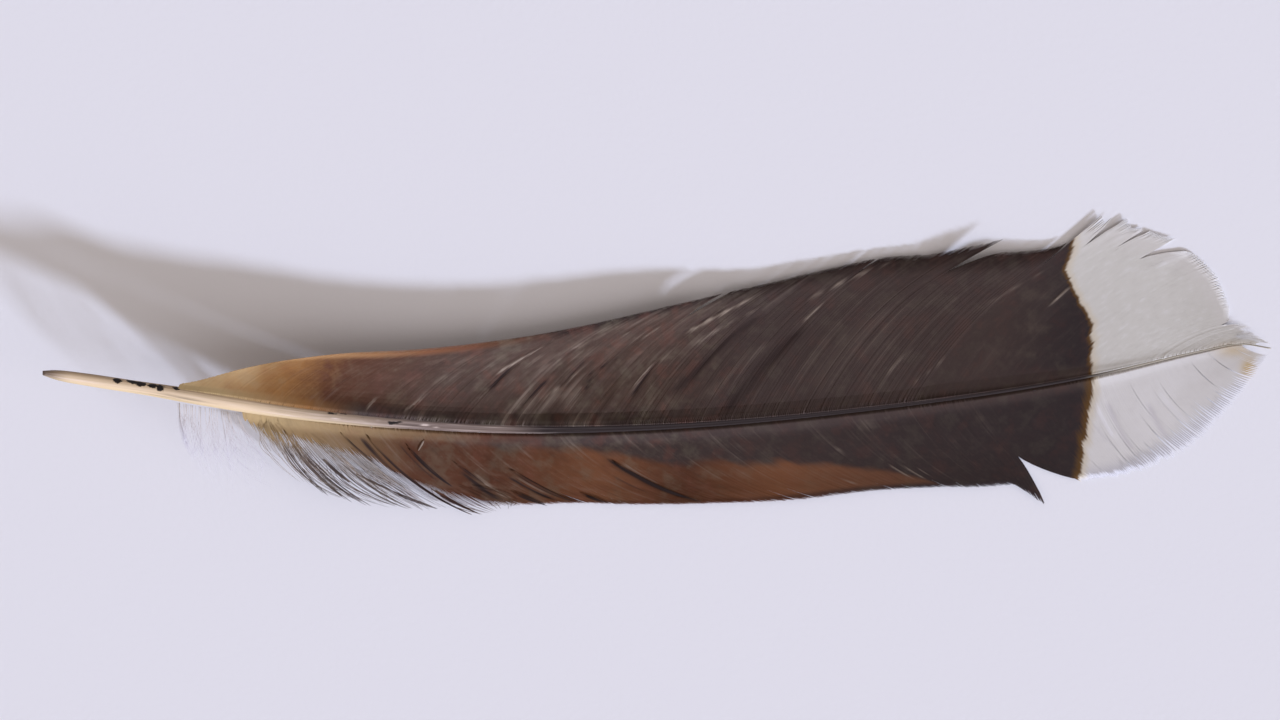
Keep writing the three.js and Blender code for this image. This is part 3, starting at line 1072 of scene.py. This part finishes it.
    def _strayed(self, root: np.ndarray, reach: np.ndarray) -> np.ndarray:
        """Returns the roots moved by the barbs' wander, the clumps at the edge and the slits."""
        strayed = root + self.wander * smooth_step(reach / 0.3) * BarbNoise(31 + self.seed, 0.5, 0.4)(root, reach)
        middle = (np.floor(root / self.clump_size) + 0.5) * self.clump_size
        middle = middle + 0.25 * self.clump_size * BarbNoise(41, 0.9 * self.clump_size, 1.0)(middle, 0)
        gathered = self.clump * np.maximum(0, (reach - 0.55) / 0.45) ** 1.6
        return strayed + gathered * (middle - root) + self.vane.push(root, reach)

    def _point(self, root: np.ndarray, reach: np.ndarray) -> np.ndarray:
        """Returns plan positions, with the barbs' roots brought in to the shaft's flank."""
        share = np.clip((root - self.start) / (self.end - self.start), 0, 1)
        point = self.vane.point(root, reach) + self.parting.at(share, reach)
        inwards = -self.vane.side.value * self.plan.shaft_normal(root)
        gap = self.vane.root_gap + 0.3 * self.plan.shaft_radius(root)
        return point + inwards * (gap * np.maximum(0, 1 - reach / 0.05))[..., None]

    def _surface(self, root: np.ndarray, reach: np.ndarray, point: np.ndarray) -> np.ndarray:
        """Returns the height of the barbs' centres, which climb the shaft's flank at their roots."""
        from_shaft = np.abs(point[..., 1] - self.plan.shaft_y(point[..., 0]))
        radius = self.plan.shaft_radius(point[..., 0])
        up = SmoothTable(self.vane.climb)(point[..., 0])
        off = np.maximum(0, from_shaft - 0.7 * radius) / up[..., 1]
        climb = up[..., 0] * radius * np.exp(-(off**2))
        ridges = self.vane.ridges(root, reach)
        return np.maximum(self.vane.height(point) + 0.2 + climb + ridges, 0.13)

    def _stain(self, point: np.ndarray) -> np.ndarray:
        """Returns how strongly the ochre stain near the tip shows at each place."""
        near = np.exp(-(((point[..., 0] - 275.0) / 1.7) ** 2) - ((point[..., 1] - 0.6) / 2.2) ** 2)
        above = 0.5 * np.exp(-(((point[..., 0] - 271.5) / 4.0) ** 2) - ((point[..., 1] - 5.0) / 1.6) ** 2)
        return np.clip(near + above, 0, 1)


@dataclass
class HairTuft:
    """Unhooked barbs near the quill: separate fine hairs that curve away and fray."""

    plan: FeatherPlan
    vane: Vane
    band: WhiteBand
    node: str
    slot: str
    start: float
    end: float
    hairs: int
    thick: float  # mm, half width of a hair
    reach: tuple[float, float]
    bend: float = 1.5  # mm that a hair strays at its tip
    gather: int = 8  # how many clumps the hairs gather into
    gathered: float = 0.4
    frays: int = 2  # side filaments to a hair
    seed: int = 1
    stations: int = 12

    def build(self, material: bpy.types.Material) -> bpy.types.Object:
        """Lays the hairs and their side filaments, and dresses them."""
        rng = np.random.default_rng(self.seed)
        share = np.linspace(0, 1, self.stations)[None, :]
        root = rng.uniform(self.start, self.end, (self.hairs, 1))
        length = rng.uniform(*self.reach, (self.hairs, 1))
        reach = length * share
        middles = np.linspace(self.start, self.end, self.gather)
        nearest = middles[np.abs(root - middles[None, :]).argmin(1)][:, None]
        pull = self.gathered * share**1.2
        moved = root + pull * (nearest - root) + self.bend * rng.standard_normal(root.shape) * share**2
        groups = [(moved, reach, self._taper(share, rng, self.hairs, self.thick))]
        for _ in range(self.frays):
            at = rng.uniform(0.15, 0.8, (self.hairs, 1))
            out = rng.choice([-1, 1], (self.hairs, 1)) * rng.uniform(0.8, 2.4, (self.hairs, 1))
            side_reach = length * (at + 0.28 * share)
            side_root = root + self.gathered * (at + 0.28 * share) ** 1.2 * (nearest - root) + out * share
            thin = self._taper(share, rng, self.hairs, 0.55 * self.thick)
            groups.append((side_root, side_reach, thin))
        root, reach, wide = (np.concatenate([group[i] for group in groups]) for i in range(3))
        point = self.vane.point(root, reach)
        radius = self.plan.shaft_radius(point[..., 0])
        from_shaft = np.abs(point[..., 1] - self.plan.shaft_y(point[..., 0]))
        climb = 0.9 * radius * np.exp(-((np.maximum(0, from_shaft - 0.7 * radius) / 3.0) ** 2))
        loose = 0.35 * rng.random((len(root), 1)) * np.ones_like(reach)
        line = np.concatenate([point, (self.vane.height(point) + 0.1 + climb + loose)[..., None]], -1)
        layout = StrandLayout.make(self.node + "_hairs", len(root), self.stations, sides=3)
        layout.place(self.plan, line, wide, wide)
        layout.map_barbs(root / self.plan.length, reach)
        return finished_piece(layout.mesh, material, self.node)

    def _taper(self, share: np.ndarray, rng: np.random.Generator, count: int, thick: float) -> np.ndarray:
        """Returns half widths that thin out to each hair's tip."""
        return thick * (1 - 0.8 * share**1.5) * rng.uniform(0.7, 1.2, (count, 1))


# ---------------------------------------------------------------- the studio


@dataclass
class Studio:
    """A sheet of pale paper, one low soft key light with a warm fill, and a camera looking straight down."""

    plan: FeatherPlan
    paper: PaperFinish
    floor_size: float = 1.6
    floor_drop: float = 0.00003
    fill: tuple[float, float, float] = (0.353, 0.3125, 0.296)
    broad_strength: float = 1.3
    broad_colour: tuple[float, float, float] = (1.0, 0.94, 0.95)
    broad_height: float = 30.0  # degrees above the surface
    broad_softness: float = 58.0  # degrees across
    key_strength: float = 5.86
    key_colour: tuple[float, float, float] = (0.69, 0.771, 1.0)
    key_towards: tuple[float, float] = (0.78, -0.62)
    key_height: float = 15.5  # degrees above the surface
    key_softness: float = 4.5  # degrees across
    camera_height: float = 6.0  # from further up, a view from the side backs off beyond its clipping distance
    view_width: float = 0.29235
    view_middle: tuple[float, float] = (135.9, 2.74)  # plan position under the camera
    sensor: float = 36.0

    def build(self) -> None:
        """Builds the floor, lights and camera."""
        scene = bpy.context.scene
        scene.view_settings.view_transform = "Standard"
        self._floor(scene)
        world = bpy.data.worlds.new("studio_fill")
        world.use_nodes = True
        world.node_tree.nodes["Background"].inputs[0].default_value = (*self.fill, 1.0)
        scene.world = world

        self._lamp(scene, "low_key", self.key_strength, self.key_colour, self.key_height, self.key_softness)
        self._lamp(
            scene, "broad_fill", self.broad_strength, self.broad_colour, self.broad_height, self.broad_softness
        )

        data = bpy.data.cameras.new("overhead")
        data.sensor_width = self.sensor
        data.lens = self.sensor * self.camera_height / self.view_width
        data.clip_end = 2.0 * self.camera_height
        camera = bpy.data.objects.new("overhead", data)
        middle = self.plan.to_frame(np.array([*self.view_middle, 0.0]))
        camera.location = (middle[0], middle[1], self.camera_height)
        scene.collection.objects.link(camera)
        scene.camera = camera

    def _lamp(self, scene: bpy.types.Scene, name: str, strength: float, colour: tuple[float, float, float],
              height: float, softness: float) -> None:
        """Adds a distant light on the key's side.

        Args:
            scene: the scene.
            name: the light's name.
            strength: its strength.
            colour: its linear colour.
            height: degrees above the surface.
            softness: degrees that it spans.
        """
        light = bpy.data.lights.new(name, "SUN")
        light.energy = strength
        light.color = colour
        light.angle = math.radians(softness)
        lamp = bpy.data.objects.new(name, light)
        flat = Vector(self.key_towards).normalized() * math.cos(math.radians(height))
        towards = Vector((flat.x, flat.y, math.sin(math.radians(height))))
        lamp.rotation_euler = towards.to_track_quat("Z", "Y").to_euler()
        scene.collection.objects.link(lamp)

    def _floor(self, scene: bpy.types.Scene) -> None:
        """Lays the sheet of paper just under the feather."""
        bm = bmesh.new()
        bmesh.ops.create_grid(bm, x_segments=8, y_segments=8, size=self.floor_size / 2)
        bmesh.ops.translate(bm, verts=bm.verts, vec=(0, 0, -self.floor_drop))
        mesh = bpy.data.meshes.new("paper_floor")
        bm.to_mesh(mesh)
        bm.free()
        mesh.materials.append(self.paper.make())
        floor = bpy.data.objects.new("paper_floor", mesh)
        scene.collection.objects.link(floor)


# ---------------------------------------------------------------- this feather


@dataclass
class Feather:
    """The whole feather: its plan, its vanes with their marks, and its pieces."""

    plan: FeatherPlan = field(default_factory=FeatherPlan)
    band: WhiteBand = field(default_factory=WhiteBand)

    def inner_vane(self) -> Vane:
        """Returns the broad inner vane."""
        return Vane(
            self.plan,
            Side.INNER,
            cup=(
                (30, 2, 0.1), (43, 2, 0.08), (49, 2, 0.031), (56, 2.1, 0.0225), (70, 2.6, 0.02), (80, 3, 0.0212),
                (100, 4.6, 0.0202), (112, 7.4, 0.0235), (119, 9.8, 0.026), (131, 10.7, 0.0188), (149, 12, 0.0106),
                (161, 12.7, 0.0052), (175, 13.7, 0.0028), (195, 14, 0.0018), (211, 14, 0.0035),
                (222, 14, 0.0036), (236, 14, 0.0012), (280, 6, 0.0008),
            ),  # fmt: skip
            ribs=(
                (30.8, 36.5, -1.8), (36.5, 48, 1.6), (46.8, 64, 3.9), (62.8, 84.5, 4.8),
                (78.8, 103.9, 7.1), (94.8, 123.3, 10.7), (111.9, 143.9, 15.8), (129, 164.4, 20.8),
                (145, 180.4, 24.7), (159.9, 195, 27.6), (177.5, 212, 27.6), (194, 231, 28.9),
                (199, 238.5, 30.8), (205, 246, 33.5), (219, 258.5, 30.5), (234, 267.9, 22.8), (243, 270.7, 16),
                (252.4, 272, 11.5), (263.8, 275.6, 9), (276, 280, 6.4),
            ),  # fmt: skip
            relief=((30, 0.02), (55, 0.04), (80, 0.1), (120, 0.12), (140, 0.08), (152, 0.04), (165, 0.02), (200, 0.01), (280, 0.006)),
            mottle=((30, 0.1), (60, 0.2), (80, 0.4), (130, 0.45), (150, 0.22), (170, 0.12), (236, 0.1), (240, 0.03), (280, 0.03)),
            # Positive runs are painted glints on raised barbs, negative ones painted shade in the creases; past 200 mm
            # the positive ones are painted glints on the white finger tips, and the one at 229.5 is the end lobe's
            # painted shadow.
            streaks=(
                Streak(72.8, 0.03, 0.16, 0.6, 0.5, -0.6), Streak(81, 0.05, 0.18, 0.45, 0.5, 1.5),
                Streak(93.3, 0.42, 0.68, 0.85, 0.5, 2.0), Streak(94.3, 0.14, 0.24, 0.35, 0.6, 1.2),
                Streak(110.2, 0.18, 0.26, 0.5, 0.5, 0.8), Streak(112, 0.27, 0.37, 0.6, 0.5),
                Streak(112, 0.62, 0.7, 0.4, 0.5, 3.0), Streak(128.7, 0.19, 0.35, 0.7, 0.5),
                Streak(119, 0.57, 0.69, 0.55, 0.6, 1.0), Streak(129.2, 0.58, 0.77, 0.9, 1.0, 5.0),
                Streak(134.7, 0.47, 0.7, 0.45, 1.3, 7.0), Streak(152.7, 0.7, 0.89, 0.55, 1.5, 8.7),
                Streak(157.7, 0.52, 0.61, 0.5, 0.5, 0.5), Streak(197.5, 0.54, 0.7, 0.3, 1.0, 5.5),
                Streak(213.7, 0.46, 0.57, 0.6, 0.4, -0.2), Streak(195.7, 0.07, 0.2, 0.3, 0.5, 3.5),
                Streak(188, 0.17, 0.29, 0.25, 0.5, 1.5), Streak(148.2, 0.1, 0.4, 0.25, 2.0, 5.3),
                Streak(95.5, 0.26, 0.46, -0.9, 0.6, -1.0), Streak(105.7, 0.05, 0.3, -0.9, 0.6, 1.0),
                Streak(102.7, 0.5, 0.61, -0.75, 0.6, 4.7), Streak(111.4, 0.26, 0.45, -0.75, 0.5, -0.4),
                Streak(118.7, 0.18, 0.33, -0.75, 0.6, -3.2), Streak(115.5, 0.33, 0.43, -0.75, 0.6, 3.0),
                Streak(130, 0.16, 0.36, -0.9, 0.5, -1.0), Streak(140.2, 0.17, 0.6, -0.68, 1.5, 3.5),
                Streak(155, 0.03, 0.48, -0.68, 2.3, 4.2), Streak(151.5, 0.7, 0.89, -0.75, 0.6, 8.7),
                Streak(225.7, 0.8, 1.02, 0.5, 1.5, -5.7), Streak(210.0, 0.88, 1.02, 0.5, 1.0, -3.5),
                Streak(205.8, 0.9, 1.02, 0.45, 0.8, -1.5), Streak(229.5, 0.8, 1.02, -0.4, 1.8, -5.7),
                Streak(176, 0.1, 0.6, 0.12, 7.0), Streak(127.6, 0.58, 0.77, -0.75, 0.6, 5.0),
            ),  # fmt: skip
            slits=(
                Slit(123.5, 0.74, 1.02, 1.9), Slit(157.2, 0.82, 1.02, 0.8, 2.0), Slit(211.8, 0.82, 1.3, 1.6, 1.5),
            ),  # fmt: skip
            climb=(
                (36, 1.55, 7.5), (55, 1.5, 6.5), (66, 1.45, 4.2), (82, 1.35, 2.6), (110, 1.25, 1.8), (200, 1.05, 1.6), (225, 0.9, 1.5),
                (245, 0.8, 1.4), (265, 0.5, 1.2), (280, 0.1, 1.0),
            ),
        )

    def outer_vane(self) -> Vane:
        """Returns the narrow outer vane."""
        return Vane(
            self.plan,
            Side.OUTER,
            cup=(
                (45, 3, -0.02), (75, 5, -0.012), (110, 8, 0.004), (180, 9, 0.008), (225, 9, 0.004),
                (245, 9, 0.001), (280, 8, 0.001),
            ),  # fmt: skip
            ribs=(
                (45.7, 58, -26.5), (52, 66, -28.8), (58, 81, -31), (66, 91.5, -31.8), (73.5, 97.5, -32.3),
                (80.5, 103, -31.6), (86.5, 110.5, -30.8), (98.5, 122.5, -30), (110, 136, -30.2),
                (123, 151, -29.9), (145, 171, -29), (165, 189.5, -27), (180, 202, -26.4), (198, 217, -26.2),
                (207, 226, -25.4), (214, 233.5, -25.2), (222, 239, -24.8), (230, 244.5, -24),
                (238.7, 251, -21.8), (246.7, 260.5, -16.8), (255, 267, -11), (262, 273, -4.6),
                (268, 277.2, 1), (273, 279.3, 4),
            ),  # fmt: skip
            relief=((45, 0.05), (80, 0.1), (130, 0.1), (180, 0.05), (280, 0.03)),
            mottle=((45, 0.3), (80, 0.3), (130, 0.3), (180, 0.15), (280, 0.1)),
            # Negative runs are barbs of a darker colour; positive ones are painted glints.
            streaks=(
                Streak(70.5, 0.1, 0.85, -0.8, 0.7), Streak(78.5, 0.15, 0.55, -0.5, 0.5),
                Streak(86.4, 0.42, 0.85, -0.8, 0.7, -2.0), Streak(88.6, 0.45, 0.8, 0.4, 0.6, -2.0),
                Streak(95, 0.5, 0.9, -0.9, 0.8), Streak(97, 0.5, 0.8, 0.4, 0.7), Streak(99.5, 0.8, 1, -0.6),
                Streak(118, 0.5, 0.7, -0.35), Streak(122.5, 0.25, 0.85, -0.85, 0.8),
                Streak(124.4, 0.3, 0.6, 0.4, 0.6), Streak(165, 0.75, 0.85, 0.4), Streak(174.5, 0.3, 0.4, 0.35),
                Streak(181, 0.6, 0.8, 0.5, 0.4), Streak(184, 0.62, 0.82, 0.5, 0.4), Streak(186.6, 0.64, 0.8, 0.4, 0.4),
                Streak(187, 0.05, 0.16, 0.25, 3.0), Streak(240.5, 0.24, 0.8, -0.5, 0.8, -1.0),
                Streak(247.5, 0.4, 0.98, -0.5, 0.8, -2.7), Streak(235, 0.38, 0.75, -0.4, 0.6, 2.0),
                Streak(238, 0.2, 0.6, 0.5, 0.8), Streak(251, 0.3, 0.8, 0.4, 1.0),
            ),  # fmt: skip
            climb=((0, 1.1, 1.6), (200, 1.0, 1.6), (225, 0.85, 1.5), (245, 0.75, 1.4), (265, 0.5, 1.2), (280, 0.1, 1.0)),
        )

    def down_vane(self) -> Vane:
        """Returns the side that the down grows on, as a vane of its own."""
        return Vane(
            self.plan,
            Side.OUTER,
            cup=((25, 2, -0.025), (60, 2, -0.025)),
            ribs=((29, 32.5, -18), (35, 38.8, -26.5), (40, 46.8, -28), (44.8, 56, -26)),
        )

    def finishes(self) -> dict[str, BarbFinish]:
        """Returns the finish of each group of barbs."""
        # The inner vane is lighter in its middle than towards the white end, partly as painted sheen.
        ground = (
            (33, Pigment.TAN), (57, Pigment.GOLD), (67, Pigment.CHESTNUT), (92, Pigment.UMBER),
            (140, Pigment.UMBER), (160, Pigment.SOOT), (220, Pigment.SOOT), (236, Pigment.NIGHT),
        )  # fmt: skip
        # Tan and gold by the quill are the barbs' own colour; the dark beyond is the raised shaft's painted shadow.
        near_shaft_tone_and_shadow = ((40, Pigment.TAN), (60, Pigment.GOLD), (72, Pigment.SOOT))
        at_edge = ((40, Pigment.STRAW), (88, Pigment.RUST), (118, Pigment.BLACK_BROWN))
        rust = (
            (40, Pigment.TAN), (84, Pigment.CHESTNUT), (104, Pigment.CHESTNUT), (126, Pigment.RUST),
            (146, Pigment.CHESTNUT), (168, Pigment.RUST), (239, Pigment.SOOT),
        )  # fmt: skip
        outer_ground = ((40, Pigment.TAN), (90, Pigment.UMBER), (125, Pigment.SOOT), (239, Pigment.NIGHT))
        outer_near = ((48, Pigment.TAN), (100, Pigment.CHESTNUT), (120, Pigment.SOOT))
        outer_edge = ((48, Pigment.TAN), (110, Pigment.CHESTNUT), (160, Pigment.CHESTNUT), (200, Pigment.NIGHT))
        loose_edge = ((45, Pigment.ASH), (90, Pigment.UMBER))
        inner = BarbFinish("hooked_keratin_barbs_brown", ground, near_shaft_tone_and_shadow, at_edge, 0.75, edge_to=0.92)
        outer = BarbFinish(
            "hooked_keratin_barbs_rust", outer_ground, outer_near, outer_edge, 0.86, rust=rust, rim_width=2.4
        )
        return {
            "brown": inner,
            "rust": outer,
            "inner_white": BarbFinish("translucent_white_barbs", ground, near_shaft_tone_and_shadow, at_edge, 0.88, white_light="e4e1e2"),
            "outer_white": BarbFinish(
                "sparse_white_barbs", outer_ground, outer_near, outer_edge, 0.86, rust=rust, rim_width=2.4,
                white=((236, Pigment.THIN_WHITE), (280, Pigment.THIN_WHITE)), white_light="dcd9da",
                white_shade="bcb7b8", white_edge="b6b3b6", contrast=0.06,
            ),
            "loose": BarbFinish(
                "unhooked_keratin_barbs", outer_ground, outer_near, loose_edge, 0.2, rust=rust, edge_to=0.42
            ),
        }  # fmt: skip

    def webs(self) -> list[tuple[Web, str]]:
        """Returns each web of barbs with the name of its finish."""
        inner, outer = self.inner_vane(), self.outer_vane()
        plan, band = self.plan, self.band
        inner_edge = ((30, 0.15), (33, 0.36), (38, 0.74), (46, 0.97), (90, 1.0), (110, 0.96), (160, 0.955), (172, 0.97), (177.5, 0.99))
        inner_closed = ((30, 0.9), (90, 0.94), (110, 0.96), (177, 0.96))
        outer_rust = (
            (70, 0.02), (84, 0.02), (94, 0.1), (112, 0.12), (124, 0.18), (137, 0.33), (153, 0.4),
            (168, 0.5), (179, 0.7), (193, 1.3),
        )  # fmt: skip
        outer_closed = ((70, 0.3), (76, 0.5), (82, 0.72), (88, 0.86), (95, 0.95), (207, 0.95))
        loose_closed = ((45, 0.02), (49, 0.07), (55, 0.1), (62, 0.16), (69.4, 0.25))
        smooth = {"deep": 0.01, "stout": 0.2, "uneven": 0.003, "grain": 0.02, "cover": 2.0, "ragged": 0.002, "clump": 0.01}
        calm = {"ragged": 0.003, "clump": 0.015}
        white_closed = ((207, 0.95), (226, 0.95), (238, 0.72), (273, 0.6))
        return [
            (Web(plan, inner, band, "inner_vane_main", "vane_brown", 30.8, 177.2,
                 Parting((0, 0), (7.4, 3), 0.06, 0.62), closed=inner_closed, edge=inner_edge, seed=1, **calm), "brown"),
            (Web(plan, inner, band, "inner_vane_second_web", "vane_brown", 177.7, 198.9,
                 Parting((4.5, -0.6), (-4.8, -1), 0.3, 0.72), seed=2, **calm), "brown"),
            (Web(plan, inner, band, "inner_vane_finger", "vane_white", 199.4, 204.4,
                 Parting((4.2, 6.4), (-1, 2.6), 0.6, 0.8), seed=3, **smooth), "inner_white"),
            (Web(plan, inner, band, "inner_vane_lobe", "vane_white", 204.9, 218.7,
                 Parting((2.6, 2.5), (0.6, 0.4), 0.22, 0.84), seed=4, **smooth), "inner_white"),
            (Web(plan, inner, band, "inner_vane_end_lobe", "vane_white", 219.2, 252.6,
                 Parting((3.2, -2.7), (-1.2, 0.8), 0.22, 0.78), seed=5, **smooth), "inner_white"),
            (Web(plan, inner, band, "inner_vane_tip_wisp", "vane_white", 253.1, 276,
                 closed=((253, 0.9), (260, 0.8), (266, 0.4), (276, 0.1)), fade=0.3, thin=0.2, cover=1.8,
                 wander=0.15, ragged=0.06, seed=6, deep=0.01, stout=0.2), "inner_white"),
            (Web(plan, outer, band, "outer_vane_main", "vane_rust", 69.9, 211.3,
                 Parting((0, 0), (-2.4, -5.2), 0.06, 0.58), closed=outer_closed, rust=outer_rust, seed=7,
                 edge=((70, 0.8), (82, 0.93), (95, 0.985), (211.3, 0.985)), fade=0.2, thin=0.22,
                 locks=(
                     Lock(72.5, 0.05, 1.04, 6, 0.55), Lock(80.2, 0.12, 0.62, 4, 0.4), Lock(87.2, 0.3, 0.62, 4, 0.3),
                     Lock(98.0, 0.38, 1.0, 6, 0.6), Lock(123, 0.25, 1.0, 5, 0.5), Lock(75.0, 0.62, 1.02, 6, 0.7),
                     Lock(104, 0.75, 1.04, 4, 0.8), Lock(90.5, 0.7, 1.04, 5, 1.0, thick=0.12),
                     Lock(85.5, 0.065, 0.2, 2, 0.2, -3.7, 1.3, 0.16, 0.01),
                     Lock(80, 0.6, 1.03, 16, 9.0, thick=0.07, tone=-0.5),
                 )), "rust"),
            (Web(plan, outer, band, "outer_vane_end_web", "vane_white", 211.8, 273,
                 Parting((5, 0.6), (0, 0), 0.1, 0.6), rust=outer_rust, seed=8, sparse=0.3, closed=white_closed,
                 fade=0.38, thin=0.22, ragged=0.012, slender=0.012, deep=0.012, stout=0.2, uneven=0.004, grain=0.02, cover=1.7, edge=((207, 0.98), (232, 0.98), (242, 1.03), (273, 1.0)), wander=0.1), "outer_white"),
            (Web(plan, outer, band, "loose_barbs", "vane_brown", 45.7, 69.4, closed=loose_closed, rust=((0, 0), (280, 0)),
                 edge=((45, 0.05), (49, 0.3), (56, 0.5), (64, 0.66), (69.4, 0.8)), fade=0.12, thin=0.16, ragged=0.08,
                 wander=0.3, clump=0.2, seed=9,
                 locks=(
                     Lock(52.0, 0.14, 1.02, 5, 0.45, -0.4, tone=-0.8, thick=0.11), Lock(53.8, 0.1, 1.02, 5, 0.4, -0.3, tone=-0.8, thick=0.11),
                     Lock(54.6, 0.2, 1.05, 4, 0.4, 0.2, tone=-0.8, thick=0.1), Lock(57.0, 0.36, 0.68, 5, 0.35, tone=-0.8, thick=0.18),
                     Lock(60.6, 0.47, 0.7, 5, 0.35, 2.0, tone=-0.8, thick=0.18), Lock(62.5, 0.66, 0.98, 5, 0.8, 3.0, tone=-0.8, thick=0.09),
                     Lock(66.5, 0.02, 0.42, 3, 0.25, 1.4, thick=0.12), Lock(60.0, 0.4, 1.02, 24, 8.0, thick=0.06, tone=-0.4),
                     Lock(56.0, 0.15, 0.98, 22, 6.0, thick=0.05, tone=-0.3), Lock(51.0, 0.02, 0.34, 16, 3.5, thick=0.1, tone=-0.1),
                     Lock(50.5, 0.03, 0.85, 20, 5.0, tone=1.0, thick=0.045, fray=0.4),
                     Lock(57.0, 0.1, 0.95, 24, 6.5, tone=1.0, thick=0.045, fray=0.4),
                     Lock(64.0, 0.2, 0.95, 18, 5.0, tone=1.0, thick=0.045, fray=0.4),
                 )), "loose"),
        ]  # fmt: skip

    def build(self) -> list[bpy.types.Object]:
        """Builds every piece of the feather."""
        pieces = [Shaft(self.plan, HornFinish()).build()]
        materials = {key: finish.make() for key, finish in self.finishes().items()}
        pieces += [web.build(materials[key]) for web, key in self.webs()]
        down = self.down_vane()
        wisps = HairTuft(
            self.plan, down, self.band, "down_tuft", "down_grey", 29, 44.8, 60, 0.038, (0.5, 1.0),
            bend=2.2, gather=6, gathered=0.55, frays=4, seed=10,
        )  # fmt: skip
        pieces.append(wisps.build(DownFinish().make()))
        return pieces


def main() -> None:
    """Builds the studio and the feather, and reports each piece."""
    logging.basicConfig(level=logging.INFO, format="%(name)s: %(message)s")
    feather = Feather()
    Studio(feather.plan, PaperFinish()).build()
    pieces = feather.build()
    log.info("built %d pieces", len(pieces))


if __name__ == "__main__":
    main()
